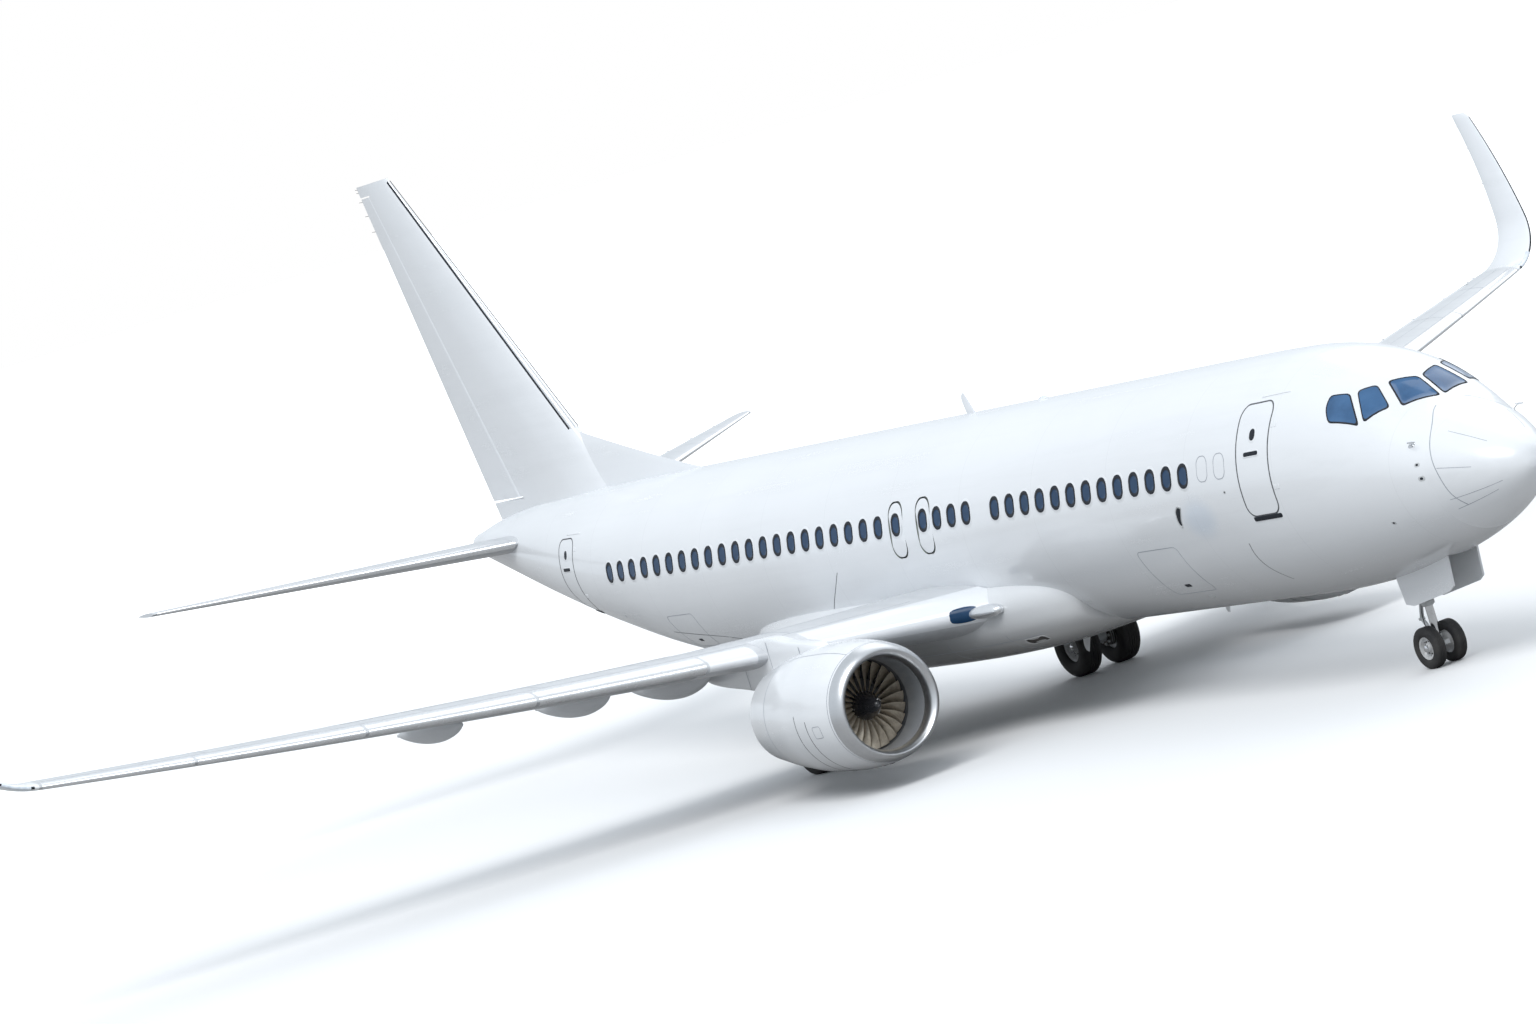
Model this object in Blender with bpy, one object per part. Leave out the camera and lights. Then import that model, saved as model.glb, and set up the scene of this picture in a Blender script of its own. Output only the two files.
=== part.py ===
"""A twin-engined short-haul airliner standing on its landing gear, as named solids in metres.

The nose points to -Y, the port wing to +X and +Z is up. The ground is z = 0, and the origin lies below
the middle of the length. Along the aircraft a place is a station: its distance aft of the nose tip.
Heights of the hull, wings and tail are measured from the hull's widest line, which is level.
"""

import math

import bmesh
import bpy
import numpy as np

# Overall
LENGTH = 39.47  # nose tip to the stabilisers' aftmost tips
HALF_SPAN = 17.895
WIDEST_LINE = 3.55  # height of the hull's widest line above the ground
GAP = 0.0003  # between pieces that touch
CLEAR = 0.008  # between a moving piece and its neighbours
PIN_DEPTH = 0.03  # how far a hinge pin reaches into each of its pieces
PIN_GAP = 0.0002  # between a pin or axle and its bore
PIN_SIDES = 10
SURFACE_PIN = 0.014  # radius of the hinge pins of rudder, elevators and ailerons
PORT, STARBOARD = 1, -1
SIDES = {"left": PORT, "right": STARBOARD}

# Hull
HULL_LENGTH = 38.02
HULL_RADIUS = 1.88
KEEL_DEPTH = 2.13
NOSE_LENGTH = 6.2
NOSE_TIP = -0.55
NOSE_POWER, NOSE_ROOT = 2.0, 0.58
NOSE_END_STATION = 0.012
RADOME_END = 1.32
TAIL_CONE_START = 36.95
HULL_SIDES = 40
CROWN = [(0.0, -0.55), (0.05, -0.36), (0.2, -0.17), (0.6, 0.1), (1.2, 0.4), (1.75, 0.66), (2.25, 1.03)]
CROWN += [(2.8, 1.36), (3.4, 1.58), (4.3, 1.77), (5.3, 1.86), (6.5, 1.88), (31.0, 1.88), (34.0, 1.83)]
CROWN += [(36.5, 1.63), (HULL_LENGTH, 1.4)]
TAIL_KEEL = [(24.3, -2.13), (26.0, -2.0), (28.0, -1.62), (30.5, -1.0), (33.0, -0.32), (35.5, 0.37)]
TAIL_KEEL += [(HULL_LENGTH, 1.02)]
TAIL_WIDTH = [(25.0, 1.88), (27.5, 1.83), (30.0, 1.64), (32.5, 1.32), (35.0, 0.88), (37.0, 0.45)]
TAIL_WIDTH += [(HULL_LENGTH, 0.2)]
TAIL_LINE = [(24.0, 0.0), (28.0, 0.14), (31.0, 0.44), (34.0, 0.82), (36.5, 1.1), (HULL_LENGTH, 1.21)]

# Belly fairing
FAIRING_START, FAIRING_END = 12.3, 24.2
FAIRING_MIDDLE = -1.5
FAIRING_HALF_WIDTH = 2.12
FAIRING_UP, FAIRING_DOWN = 0.78, 0.9
FAIRING_SQUARENESS = 2.7
FAIRING_SIDES = 28

# Wing
WING_ROOT_X = 1.1
BODY_SIDE_X = 1.88
KINK_X = 5.5
WING_END_X = 16.3
LEADING_AT_KINK, LEADING_SLOPE = 17.26, 0.5228
GLOVE_LEADING, GLOVE_X = 14.35, 4.3
TRAILING_BODY, TRAILING_KINK, TRAILING_SLOPE = 20.92, 21.26, 0.287
ROOT_HEIGHT = -1.35
DIHEDRAL = math.radians(6.0)
TIP_RISE = 0.55  # how far the lifted tip bends above the straight dihedral line
ROOT_INCIDENCE, TIP_INCIDENCE = math.radians(1.5), math.radians(-1.5)
THICKNESS_ROOT, THICKNESS_KINK, THICKNESS_TIP = 0.142, 0.118, 0.102
FOIL_STEPS = 9

# Winglet
BLEND_RADIUS = 1.3
WINGLET_CANT = math.radians(76.0)
WINGLET_TOP_CHORD = 0.56
WINGLET_TOP_LEADING = 25.42
WINGLET_THICKNESS = 0.085

# Flaps and ailerons
FLAP_X = (2.3, 12.35)
FLAP_FRONT = {2.3: 19.93, KINK_X: 19.98, 12.35: 22.42}
AILERON_X = (12.55, 15.6)
AILERON_HINGE = 0.76
NOSE_FIT = 0.985  # a control surface's nose is a little slimmer than the surface behind it
TRACK_FAIRINGS = [(5.25, 18.9, 22.25, 0.25), (7.0, 19.4, 22.55, 0.22), (9.45, 20.3, 23.2, 0.2)]

# Fin and rudder
FIN_ROOT_Z, FIN_TOP_Z = 1.0, 9.0
FIN_LEADING, FIN_TRAILING = (30.95, 37.1), (36.75, 38.67)
FIN_BASE_Z = 1.85
RUDDER_HINGE = 0.72
RUDDER_Z = (2.02, 8.72)
RUDDER_ROOM_BELOW, RUDDER_ROOM_ABOVE = 0.055, 0.03  # its hinge slopes, so its ends rise and dip
FIN_THICKNESS = 0.105
DORSAL_START, DORSAL_TOP_Z = 26.9, 3.1

# Stabilisers and elevators
STABILISER_X = (0.3, 7.175)
STABILISER_LEADING, STABILISER_TRAILING = (33.78, 38.62), (37.55, 39.47)
STABILISER_HEIGHT = 1.2
STABILISER_DIHEDRAL = math.radians(7.0)
STABILISER_THICKNESS = 0.1
ELEVATOR_HINGE = 0.7
ELEVATOR_X = (1.15, 6.85)
ELEVATOR_ROOM = 0.045  # at both of its ends

# Engines
ENGINE_X = 4.83
ENGINE_HEIGHT = -2.1
LIP_STATION = 13.45
COWL_LENGTH = 3.55
COWL_FLATTENING = 0.95  # the underside's radius as a share of the top's
LIP_LENGTH = 0.24
LIP_OUTER_RADIUS, LIP_INNER_RADIUS = 1.046, 0.785  # where the lip meets the cowl
COWL_OUTER = [(0.0, 0.9), (0.03, 0.952), (0.1, 0.998), (LIP_LENGTH, LIP_OUTER_RADIUS), (0.6, 1.105)]
COWL_OUTER += [(1.1, 1.138), (1.8, 1.132), (2.6, 1.045), (COWL_LENGTH, 0.87)]
COWL_INNER = [(COWL_LENGTH, 0.84), (2.6, 0.88), (1.35, 0.84), (1.0, 0.792), (0.6, 0.785)]
COWL_INNER += [(LIP_LENGTH, LIP_INNER_RADIUS), (0.1, 0.815), (0.03, 0.86)]
COWL_SIDES = 32
FAN_STATION = 0.98  # of the fan's middle, aft of the lip
FAN_RADIUS = 0.765
FAN_BLADES = 24
HUB_RADIUS = 0.25
SHAFT_RADIUS = 0.06
HUB = [(-0.56, 0.015), (-0.48, 0.09), (-0.3, 0.18), (-0.1, HUB_RADIUS), (0.12, HUB_RADIUS)]
HUB += [(0.12, SHAFT_RADIUS), (0.3, SHAFT_RADIUS)]
BLADE_ROW = 3
BLADE_THICKNESS = 0.02
CORE = [(1.16, 0.5), (1.6, 0.56), (2.6, 0.6), (3.6, 0.53), (4.35, 0.4), (4.36, 0.28), (4.6, 0.24)]
CORE += [(5.05, 0.06)]
PYLON_HALF_WIDTH = 0.17
PYLON = [(1.15, 0.9), (1.9, 1.2), (2.8, 1.3), (3.6, 1.42), (5.2, 1.3), (6.7, 0.98), (6.3, 0.72), (4.6, 0.5)]
PYLON += [(3.5, 0.3), (1.75, 0.3), (1.5, 0.62), (1.18, 0.8)]

# Main gear
MAIN_STATION, MAIN_X = 19.64, 2.86
MAIN_TYRE_RADIUS, MAIN_TYRE_WIDTH, MAIN_RIM_RADIUS = 0.565, 0.42, 0.275
MAIN_WHEEL_OFFSET = 0.43
MAIN_AXLE_RADIUS = 0.06
WELL_X, WELL_RADIUS, WELL_ROOF = 0.8, 0.62, 1.86
SLOT_HALF_LENGTH, SLOT_OUTER_X, SLOT_ROOF = 0.24, 3.12, 2.2

# Nose gear
NOSE_STATION = 4.04
NOSE_TYRE_RADIUS, NOSE_TYRE_WIDTH, NOSE_RIM_RADIUS = 0.343, 0.197, 0.19
NOSE_WHEEL_OFFSET = 0.205
NOSE_AXLE_RADIUS = 0.04
BAY_START, BAY_END, BAY_HALF_WIDTH, BAY_ROOF = 2.55, 4.4, 0.31, 2.3
NOSE_PISTON_RADIUS, NOSE_LEG_RADIUS, PISTON_SIDES = 0.065, 0.1, 24
TAXI_LAMP_REACH = 0.14, 0.22  # of its back and front ahead of the leg, inside the bay doors when steered
MAIN_WHEEL_SIDES, NOSE_WHEEL_SIDES = 24, 20

# Jack pads, as (side distance, station)
WING_JACK = (3.55, 18.3)
NOSE_JACK, TAIL_JACK = (0.0, 5.3), (0.0, 33.2)
JACK_PAD_RADIUS, JACK_PAD_DEPTH = 0.07, 0.03

# Overwing exits
EXIT_STATIONS = {"forward": 15.99, "aft": 17.0}
EXIT_HALF_WIDTH, EXIT_BOTTOM, EXIT_TOP, EXIT_DEPTH = 0.255, -0.17, 0.8, 0.07
EXIT_CLEAR = 0.01
EXIT_HINGE_DROP, EXIT_HINGE_DEPTH = 0.014, 0.013  # below the top edge and inside the skin
EXIT_HOLE_DEPTH = 0.1  # deeper than the hatch, whose inner edge dips as it opens

PAINTS = {
    "white_paint": ((0.86, 0.88, 0.9), 0.28, 0.0),
    "grey_paint": ((0.36, 0.38, 0.39), 0.35, 0.0),
    "polished_metal": ((0.78, 0.79, 0.8), 0.22, 1.0),
    "titanium": ((0.34, 0.31, 0.28), 0.4, 1.0),
    "steel": ((0.55, 0.56, 0.58), 0.35, 1.0),
    "gear_paint": ((0.72, 0.74, 0.75), 0.4, 0.0),
    "tyre_rubber": ((0.03, 0.03, 0.032), 0.8, 0.0),
}


# Measures and curves


def height(z):
    """Height above the ground of a height measured from the widest line."""
    return z + WIDEST_LINE


def place(x, station, z):
    """A point in the scene from its side distance, station and height above the ground."""
    return (x, station - LENGTH / 2, z)


def smooth_curve(points):
    """A function that runs through the points with no overshoot between them (monotone cubic)."""
    xs, ys = np.array(points, float).T
    steps = np.diff(xs)
    rises = np.diff(ys) / steps
    slopes = np.concatenate([[rises[0]], np.zeros(len(xs) - 2), [rises[-1]]])
    same_way = rises[:-1] * rises[1:] > 0
    weights = 2 * steps[1:] + steps[:-1], steps[1:] + 2 * steps[:-1]
    with np.errstate(divide="ignore", invalid="ignore"):
        means = sum(weights) / (weights[0] / rises[:-1] + weights[1] / rises[1:])
    slopes[1:-1] = np.where(same_way, means, 0)

    def value(x):
        i = int(np.clip(np.searchsorted(xs, x) - 1, 0, len(steps) - 1))
        t = (x - xs[i]) / steps[i]
        start = (1 + 2 * t) * (1 - t) ** 2 * ys[i] + t * (1 - t) ** 2 * steps[i] * slopes[i]
        end = t * t * (3 - 2 * t) * ys[i + 1] + t * t * (t - 1) * steps[i] * slopes[i + 1]
        return float(start + end)

    return value


crown_line = smooth_curve(CROWN)
tail_keel = smooth_curve(TAIL_KEEL)
tail_width = smooth_curve(TAIL_WIDTH)
tail_line = smooth_curve(TAIL_LINE)


def between(x, ends, values):
    """The value at x on the straight line through the two ends."""
    return values[0] + (x - ends[0]) / (ends[1] - ends[0]) * (values[1] - values[0])


# Solids


def material(name):
    """The named paint or metal as a Principled BSDF material, made once."""
    if name in bpy.data.materials:
        return bpy.data.materials[name]
    colour, roughness, metallic = PAINTS[name]
    made = bpy.data.materials.new(name)
    made.use_nodes = True
    shader = made.node_tree.nodes["Principled BSDF"]
    shader.inputs["Base Color"].default_value = (*colour, 1)
    shader.inputs["Roughness"].default_value = roughness
    shader.inputs["Metallic"].default_value = metallic
    return made


def solid(name, bm, paint):
    """An object made from a closed bmesh, with its faces turned out and split into triangles."""
    bmesh.ops.recalc_face_normals(bm, faces=bm.faces)
    bmesh.ops.triangulate(bm, faces=bm.faces)
    mesh = bpy.data.meshes.new(name)
    bm.to_mesh(mesh)
    bm.free()
    mesh.materials.append(material(paint))
    mesh.shade_smooth()
    mesh.set_sharp_from_angle(angle=math.radians(35))
    made = bpy.data.objects.new(name, mesh)
    bpy.context.collection.objects.link(made)
    return made


def loft(name, rings, paint="white_paint", closed=False):
    """A solid through rings of equally many points: capped at both ends, or closed into a hoop."""
    bm = bmesh.new()
    loops = [[bm.verts.new(point) for point in ring] for ring in rings]
    pairs = list(zip(loops, loops[1:]))
    if closed:
        pairs.append((loops[-1], loops[0]))
    for near, far in pairs:
        for i in range(len(near)):
            j = (i + 1) % len(near)
            bm.faces.new((near[i], near[j], far[j], far[i]))
    if not closed:
        bm.faces.new(loops[0])
        bm.faces.new(loops[-1])
    return solid(name, bm, paint)


def helper(obj):
    """Marks a shape as a cutter or an operand, which isn't a piece of the aircraft."""
    obj.hide_render = True
    obj.display_type = "WIRE"
    return obj


def boolean(piece, other, operation):
    modifier = piece.modifiers.new(f"{operation} {other.name}", "BOOLEAN")
    modifier.operation = operation
    modifier.solver = "EXACT"
    modifier.object = helper(other)
    return piece


def cut(piece, *others):
    for other in others:
        boolean(piece, other, "DIFFERENCE")
    return piece


def join(piece, *others):
    for other in others:
        boolean(piece, other, "UNION")
    return piece


def turned(name, axis, centre, profile, paint="steel", sides=16):
    """A solid turned about a line through centre along "x", "y" or "z", from (distance along, radius)."""
    rings = []
    for along, radius in profile:
        ring = []
        for k in range(sides):
            a = 2 * math.pi * (k + 0.5) / sides
            u, v = radius * math.cos(a), radius * math.sin(a)
            offset = {"x": (along, u, v), "y": (u, along, v), "z": (u, v, along)}[axis]
            ring.append([c + o for c, o in zip(centre, offset)])
        rings.append(ring)
    return loft(name, rings, paint)


def rod(name, start, end, radius, paint="steel", sides=8, end_radius=None):
    """A round bar between two points, tapering if end_radius is given."""
    start, end = np.array(start, float), np.array(end, float)
    along = (end - start) / np.linalg.norm(end - start)
    across = np.cross(along, (0, 0, 1) if abs(along[2]) < 0.9 else (0, 1, 0))
    across /= np.linalg.norm(across)
    other = np.cross(along, across)
    rings = []
    for point, r in ((start, radius), (end, radius if end_radius is None else end_radius)):
        angles = [2 * math.pi * (k + 0.5) / sides for k in range(sides)]
        rings.append([point + r * (math.cos(a) * across + math.sin(a) * other) for a in angles])
    return loft(name, rings, paint)


def bore_radius(radius, sides):
    """Radius of a bore that a many-sided pin of the same number of sides turns in."""
    return (radius + PIN_GAP) / math.cos(math.pi / sides)


def hinge_pins(moving, fixed, start, end, radius, gap):
    """Pins at both ends of a hinge line on the moving piece, and their sockets in the fixed one."""
    start, end = np.array(start, float), np.array(end, float)
    along = (end - start) / np.linalg.norm(end - start)
    for i, (point, way) in enumerate(((start, -along), (end, along))):
        tip = point + way * (gap + PIN_DEPTH)
        join(moving, rod(f"pin_{i}_{moving.name}", point - way * PIN_DEPTH, tip, radius, sides=PIN_SIDES))
        wide = bore_radius(radius, PIN_SIDES)
        cut(fixed, rod(f"socket_{i}_{moving.name}", point, tip + way * 0.003, wide, sides=PIN_SIDES))


def box(name, low, high, paint="grey_paint"):
    """A block between two corners."""
    (x0, y0, z0), (x1, y1, z1) = low, high
    ring = [(x0, y0), (x1, y0), (x1, y1), (x0, y1)]
    return loft(name, [[(x, y, z) for x, y in ring] for z in (z0, z1)], paint)


def prism_across(name, outline, x0, x1, paint="white_paint"):
    """A plate of side view outline, as (station, height above ground) points, between two side distances."""
    return loft(name, [[place(x, s, z) for s, z in outline] for x in (x0, x1)], paint)


def prism_up(name, outline, z0, z1):
    """A block of plan outline, as (x, station) points, between two heights above the ground."""
    return loft(name, [[place(x, s, z) for x, s in outline] for z in (z0, z1)])


# Hull


def nose_growth(station):
    """How far the nose has opened out at a station, from 0 at the tip to 1 at the full section."""
    left = max(0.0, 1 - station / NOSE_LENGTH)
    return (1 - left**NOSE_POWER) ** NOSE_ROOT


def hull_section(station):
    """Half width, height of the widest line, crown and keel of the hull at a station."""
    grown = nose_growth(station)
    keel = NOSE_TIP - (KEEL_DEPTH + NOSE_TIP) * grown
    half_width, line = HULL_RADIUS * grown, NOSE_TIP * max(0.0, 1 - station / NOSE_LENGTH) ** 2
    if station > TAIL_LINE[0][0]:
        line = tail_line(station)
    if station > TAIL_KEEL[0][0]:
        keel = tail_keel(station)
    if station > TAIL_WIDTH[0][0]:
        half_width = tail_width(station)
    return half_width, line, crown_line(station), keel


def hull_ring(station, grow=0.0):
    """The hull's outline at a station: a half ellipse above the widest line and one below it."""
    half_width, line, crown, keel = hull_section(station)
    ring = []
    for k in range(HULL_SIDES):
        a = 2 * math.pi * k / HULL_SIDES
        reach = crown - line if math.sin(a) > 0 else line - keel
        x = (half_width + grow) * math.cos(a)
        ring.append(place(x, station, height(line + (reach + grow) * math.sin(a))))
    return ring


def hull_stations(start, end):
    """Stations between two ends: close together where the hull curves, far apart along its barrel."""
    nose = [NOSE_LENGTH * (1 - math.cos(math.pi / 2 * k / 12)) for k in range(1, 13)]
    barrel = [12.0, 18.0, 24.0]
    tail = [25.6 + 1.6 * k for k in range(8)]
    joints = [RADOME_END, TAIL_CONE_START]
    inner = [s for s in sorted(nose + barrel + tail + joints) if start + 0.02 < s < end - 0.02]
    return [start] + inner + [end]


def hull_length(name, start, end, grow=0.0, paint="white_paint"):
    """A length of the hull between two stations."""
    return loft(name, [hull_ring(s, grow) for s in hull_stations(start, end)], paint)


def fairing_ring(station, grow=0.0):
    """The belly fairing's outline: a squarish oval that swells from nothing and dies away again."""
    t = (station - FAIRING_START) / (FAIRING_END - FAIRING_START)
    swell = max(0.0, 1 - abs(2 * t - 1) ** 2.6) ** 0.5
    half_width = 1.35 + (FAIRING_HALF_WIDTH - 1.35) * swell + grow
    ring = []
    for k in range(FAIRING_SIDES):
        a = 2 * math.pi * k / FAIRING_SIDES
        c, s = math.cos(a), math.sin(a)
        rounding = (abs(c) ** FAIRING_SQUARENESS + abs(s) ** FAIRING_SQUARENESS) ** (-1 / FAIRING_SQUARENESS)
        reach = FAIRING_UP if s > 0 else 0.45 + (FAIRING_DOWN - 0.45) * swell
        z = FAIRING_MIDDLE + (reach + grow) * s * rounding
        ring.append(place(half_width * c * rounding, station, height(z)))
    return ring


def fairing(name, grow=0.0):
    """The solid of the belly fairing, or a slightly larger one that cuts room for it."""
    span = FAIRING_END - FAIRING_START
    stations = [FAIRING_START + span * (1 - math.cos(math.pi * k / 12)) / 2 for k in range(13)]
    return loft(name, [fairing_ring(s, grow) for s in stations])


# Wings


def wing_leading(x):
    """Station of the wing's leading edge: the glove runs further forward near the hull."""
    outer = LEADING_AT_KINK + LEADING_SLOPE * (x - KINK_X)
    if x < GLOVE_X:
        corner = LEADING_AT_KINK + LEADING_SLOPE * (GLOVE_X - KINK_X)
        return between(x, (BODY_SIDE_X, GLOVE_X), (GLOVE_LEADING, corner))
    return outer


def wing_trailing(x):
    if x < KINK_X:
        return between(x, (BODY_SIDE_X, KINK_X), (TRAILING_BODY, TRAILING_KINK))
    return TRAILING_KINK + TRAILING_SLOPE * (x - KINK_X)


def wing_height(x):
    """Height of the chord line, rising with the dihedral and with the bend of a lifted wing."""
    out = x - BODY_SIDE_X
    return ROOT_HEIGHT + out * math.tan(DIHEDRAL) + TIP_RISE * (out / (HALF_SPAN - BODY_SIDE_X)) ** 2


def wing_slope(x):
    """Angle of the wing's rise at a side distance."""
    return math.atan((wing_height(x + 0.01) - wing_height(x - 0.01)) / 0.02)


def wing_thickness(x):
    """Thickness over chord."""
    if x < KINK_X:
        return between(x, (BODY_SIDE_X, KINK_X), (THICKNESS_ROOT, THICKNESS_KINK))
    return between(x, (KINK_X, WING_END_X), (THICKNESS_KINK, THICKNESS_TIP))


def foil_half_thickness(t, thickness):
    """Half thickness over chord at a fraction t of the chord, with a blunt 0.2% trailing edge."""
    shape = 0.2969 * math.sqrt(t) - 0.126 * t - 0.3516 * t**2 + 0.2843 * t**3 - 0.1015 * t**4
    return 5 * thickness * shape + 0.001 * t


def foil_camber(t):
    """Camber over chord: little in front and most near the trailing edge."""
    return 0.014 * math.sin(math.pi * t) + 0.012 * math.sin(math.pi * t**2)


def foil_fractions(front, back):
    """Fractions of the chord from front to back, close together at a round leading edge."""
    if front > 0:
        return [front + (back - front) * k / 4 for k in range(5)]
    return [back * (1 - math.cos(math.pi / 2 * k / FOIL_STEPS)) for k in range(FOIL_STEPS + 1)]


def foil_ring(chord, thickness, front=0.0, back=1.0, grow=0.0, camber=True):
    """Outline of an aerofoil as (distance aft of the leading edge, height), over the top and back below."""
    upper, lower = [], []
    for t in foil_fractions(front, back):
        half = chord * foil_half_thickness(t, thickness) + grow
        middle = chord * foil_camber(t) if camber else 0.0
        aft = chord * t + grow * (2 * (t - front) / (back - front) - 1)
        upper.append((aft, middle + half))
        lower.append((aft, middle - half))
    if front == 0:
        lower = lower[1:]
        upper[0] = (upper[0][0] - grow, chord * foil_camber(0.0))
    return upper + lower[::-1]


def wing_station_ring(side, x, front=0.0, back=1.0, grow=0.0):
    """The wing's outline at side distance x, set at right angles to the wing's rise."""
    leading, chord = wing_leading(x), wing_trailing(x) - wing_leading(x)
    slope = wing_slope(x)
    incidence = between(x, (BODY_SIDE_X, WING_END_X), (ROOT_INCIDENCE, TIP_INCIDENCE))
    ring = []
    for aft, up in foil_ring(chord, wing_thickness(x), front, back, grow):
        lift = up - (aft - 0.3 * chord) * math.tan(incidence)
        out = x - lift * math.sin(slope)
        ring.append(place(side * out, leading + aft, height(wing_height(x) + lift * math.cos(slope))))
    return ring


def wing_fraction(x, station):
    """The fraction of the chord that a station is at."""
    return (station - wing_leading(x)) / (wing_trailing(x) - wing_leading(x))


def wing_underside(x, station):
    """Height above the ground of the wing's lower surface."""
    chord = wing_trailing(x) - wing_leading(x)
    t = wing_fraction(x, station)
    incidence = between(x, (BODY_SIDE_X, WING_END_X), (ROOT_INCIDENCE, TIP_INCIDENCE))
    up = chord * (foil_camber(t) - foil_half_thickness(t, wing_thickness(x)))
    return height(wing_height(x) + up - (t - 0.3) * chord * math.tan(incidence))


def jack_pad(name, x, station, surface):
    """A round pad with a flat underside that a jack fits, standing a little proud of the skin above it."""
    low = surface - JACK_PAD_DEPTH
    pad = [(low, JACK_PAD_RADIUS), (surface + 0.12, JACK_PAD_RADIUS)]
    return turned(name, "z", place(x, station, 0), pad, sides=12)


WING_XS = [WING_ROOT_X, BODY_SIDE_X, 3.1, GLOVE_X, KINK_X, 7.5, 9.8, FLAP_X[1], 14.5, WING_END_X]


def wing_solid(name, side, grow=0.0):
    """The whole wing with flaps and aileron still in it."""
    ends = {WING_ROOT_X: -grow, WING_END_X: grow}
    rings = [wing_station_ring(side, x + ends.get(x, 0.0), grow=grow) for x in WING_XS]
    return loft(name, rings)


def flap_front(x):
    """Station of the flap's front face."""
    stops = sorted(FLAP_FRONT)
    low, high = (stops[0], stops[1]) if x <= stops[1] else (stops[1], stops[2])
    return between(x, (low, high), (FLAP_FRONT[low], FLAP_FRONT[high]))


def flap_bay(name, side, inset=0.0):
    """The block of space behind the rear spar that the flaps fill, as a cutter."""
    inner, outer = FLAP_X[0] + inset, FLAP_X[1] - inset
    front = [(x, flap_front(x) + 1.2 * inset) for x in (inner, KINK_X, outer)]
    back = [(outer, 26.0), (inner, 26.0)]
    outline = [(side * x, s) for x, s in front + back]
    return prism_up(name, outline, height(-3.0), height(2.5))


def track_fairing(name, side, x, start, end, radius):
    """A long pod under the flap that covers its track."""
    rings = []
    for k in range(7):
        t = k / 6
        s = start + (end - start) * t
        r = radius * max(0.05, math.sin(math.pi * t**0.85)) ** 0.75
        under = wing_height(x) - 0.18 - 0.07 * t
        ring = []
        for j in range(8):
            a = 2 * math.pi * j / 8
            ring.append(place(side * x + 0.75 * r * math.cos(a), s, height(under + 1.25 * r * math.sin(a))))
        rings.append(ring)
    return loft(name, rings)


def flaps(side, word):
    """The flaps of one side with the pods that cover their tracks."""
    piece = wing_solid(f"flaps_{word}", side)
    boolean(piece, flap_bay(f"flap_block_{word}", side, GAP), "INTERSECT")
    for i, pod in enumerate(TRACK_FAIRINGS):
        shape = track_fairing(f"track_fairing_{word}_{i}", side, *pod)
        cut(shape, wing_with_bays(f"wing_cutter_{word}_{i}", side, GAP))
        join(piece, shape)
    return piece


def wing_with_bays(name, side, grow=0.0):
    """The fixed wing: the whole wing less the spaces of the flaps and the aileron."""
    piece = wing_solid(name, side, grow)
    return cut(piece, flap_bay(f"flap_bay_{name}", side, grow), aileron_bay(f"aileron_bay_{name}", side))


def outline_middle(outline):
    """The middle of an outline's flat front face, where a hinge line passes."""
    return (np.array(outline[0]) + np.array(outline[-1])) / 2


def hinge_point(side, x, fraction):
    """A point on the aileron's hinge line, in the middle of the wing's thickness."""
    return outline_middle(wing_station_ring(side, x, front=fraction))


def aileron_bay(name, side):
    """The block of space that the aileron moves in, as a cutter."""
    inner, outer = AILERON_X[0] - 0.035, AILERON_X[1] + 0.035
    outline = []
    for x in (inner, outer):
        point = hinge_point(side, x, AILERON_HINGE)
        thick = (wing_trailing(x) - wing_leading(x)) * foil_half_thickness(AILERON_HINGE, wing_thickness(x))
        outline.append((side * x, point[1] + LENGTH / 2 - 1.05 * thick - CLEAR))
    outline += [(side * outer, 26.5), (side * inner, 26.5)]
    return prism_up(name, outline, height(-2.0), height(3.0))


def control_surface(name, outlines, stretch, paint="white_paint"):
    """A surface whose outlines run behind its hinge line, closed in front by a round nose about that line."""
    rings = []
    for outline in outlines:
        upper, lower = np.array(outline[0]), np.array(outline[-1])
        up = (upper - lower) / 2
        centre = (upper + lower) / 2
        nose = []
        for k in range(1, 6):
            a = math.pi * k / 6
            forward = np.linalg.norm(up) * NOSE_FIT * math.sin(a) * stretch
            nose.append(centre - up * NOSE_FIT * math.cos(a) - np.array((0, forward, 0)))
        rings.append([tuple(p) for p in outline] + [tuple(p) for p in nose])
    return loft(name, rings, paint)


def aileron(side, word, wing):
    """The aileron, hinged on the rear spar."""
    rings = [wing_station_ring(side, x, front=AILERON_HINGE) for x in AILERON_X]
    piece = control_surface(f"aileron_{word}", rings, 1.04)
    hinge_pins(piece, wing, *(hinge_point(side, x, AILERON_HINGE) for x in AILERON_X), SURFACE_PIN, 0.045)
    return piece


def winglet_path(distance):
    """Side distance, height and lean of the winglet's middle line at a distance along it from the wing."""
    start_lean = wing_slope(WING_END_X)
    arc = BLEND_RADIUS * (WINGLET_CANT - start_lean)
    lean = min(WINGLET_CANT, start_lean + distance / BLEND_RADIUS)
    x = WING_END_X + BLEND_RADIUS * (math.sin(lean) - math.sin(start_lean))
    z = wing_height(WING_END_X) + BLEND_RADIUS * (math.cos(start_lean) - math.cos(lean))
    beyond = max(0.0, distance - arc)
    return x + beyond * math.cos(lean), z + beyond * math.sin(lean), lean


def winglet_length():
    """Length of the winglet's middle line, so that its top reaches the half span."""
    start_lean = wing_slope(WING_END_X)
    arc = BLEND_RADIUS * (WINGLET_CANT - start_lean)
    x_at_arc = WING_END_X + BLEND_RADIUS * (math.sin(WINGLET_CANT) - math.sin(start_lean))
    return arc + (HALF_SPAN - x_at_arc) / math.cos(WINGLET_CANT)


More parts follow.
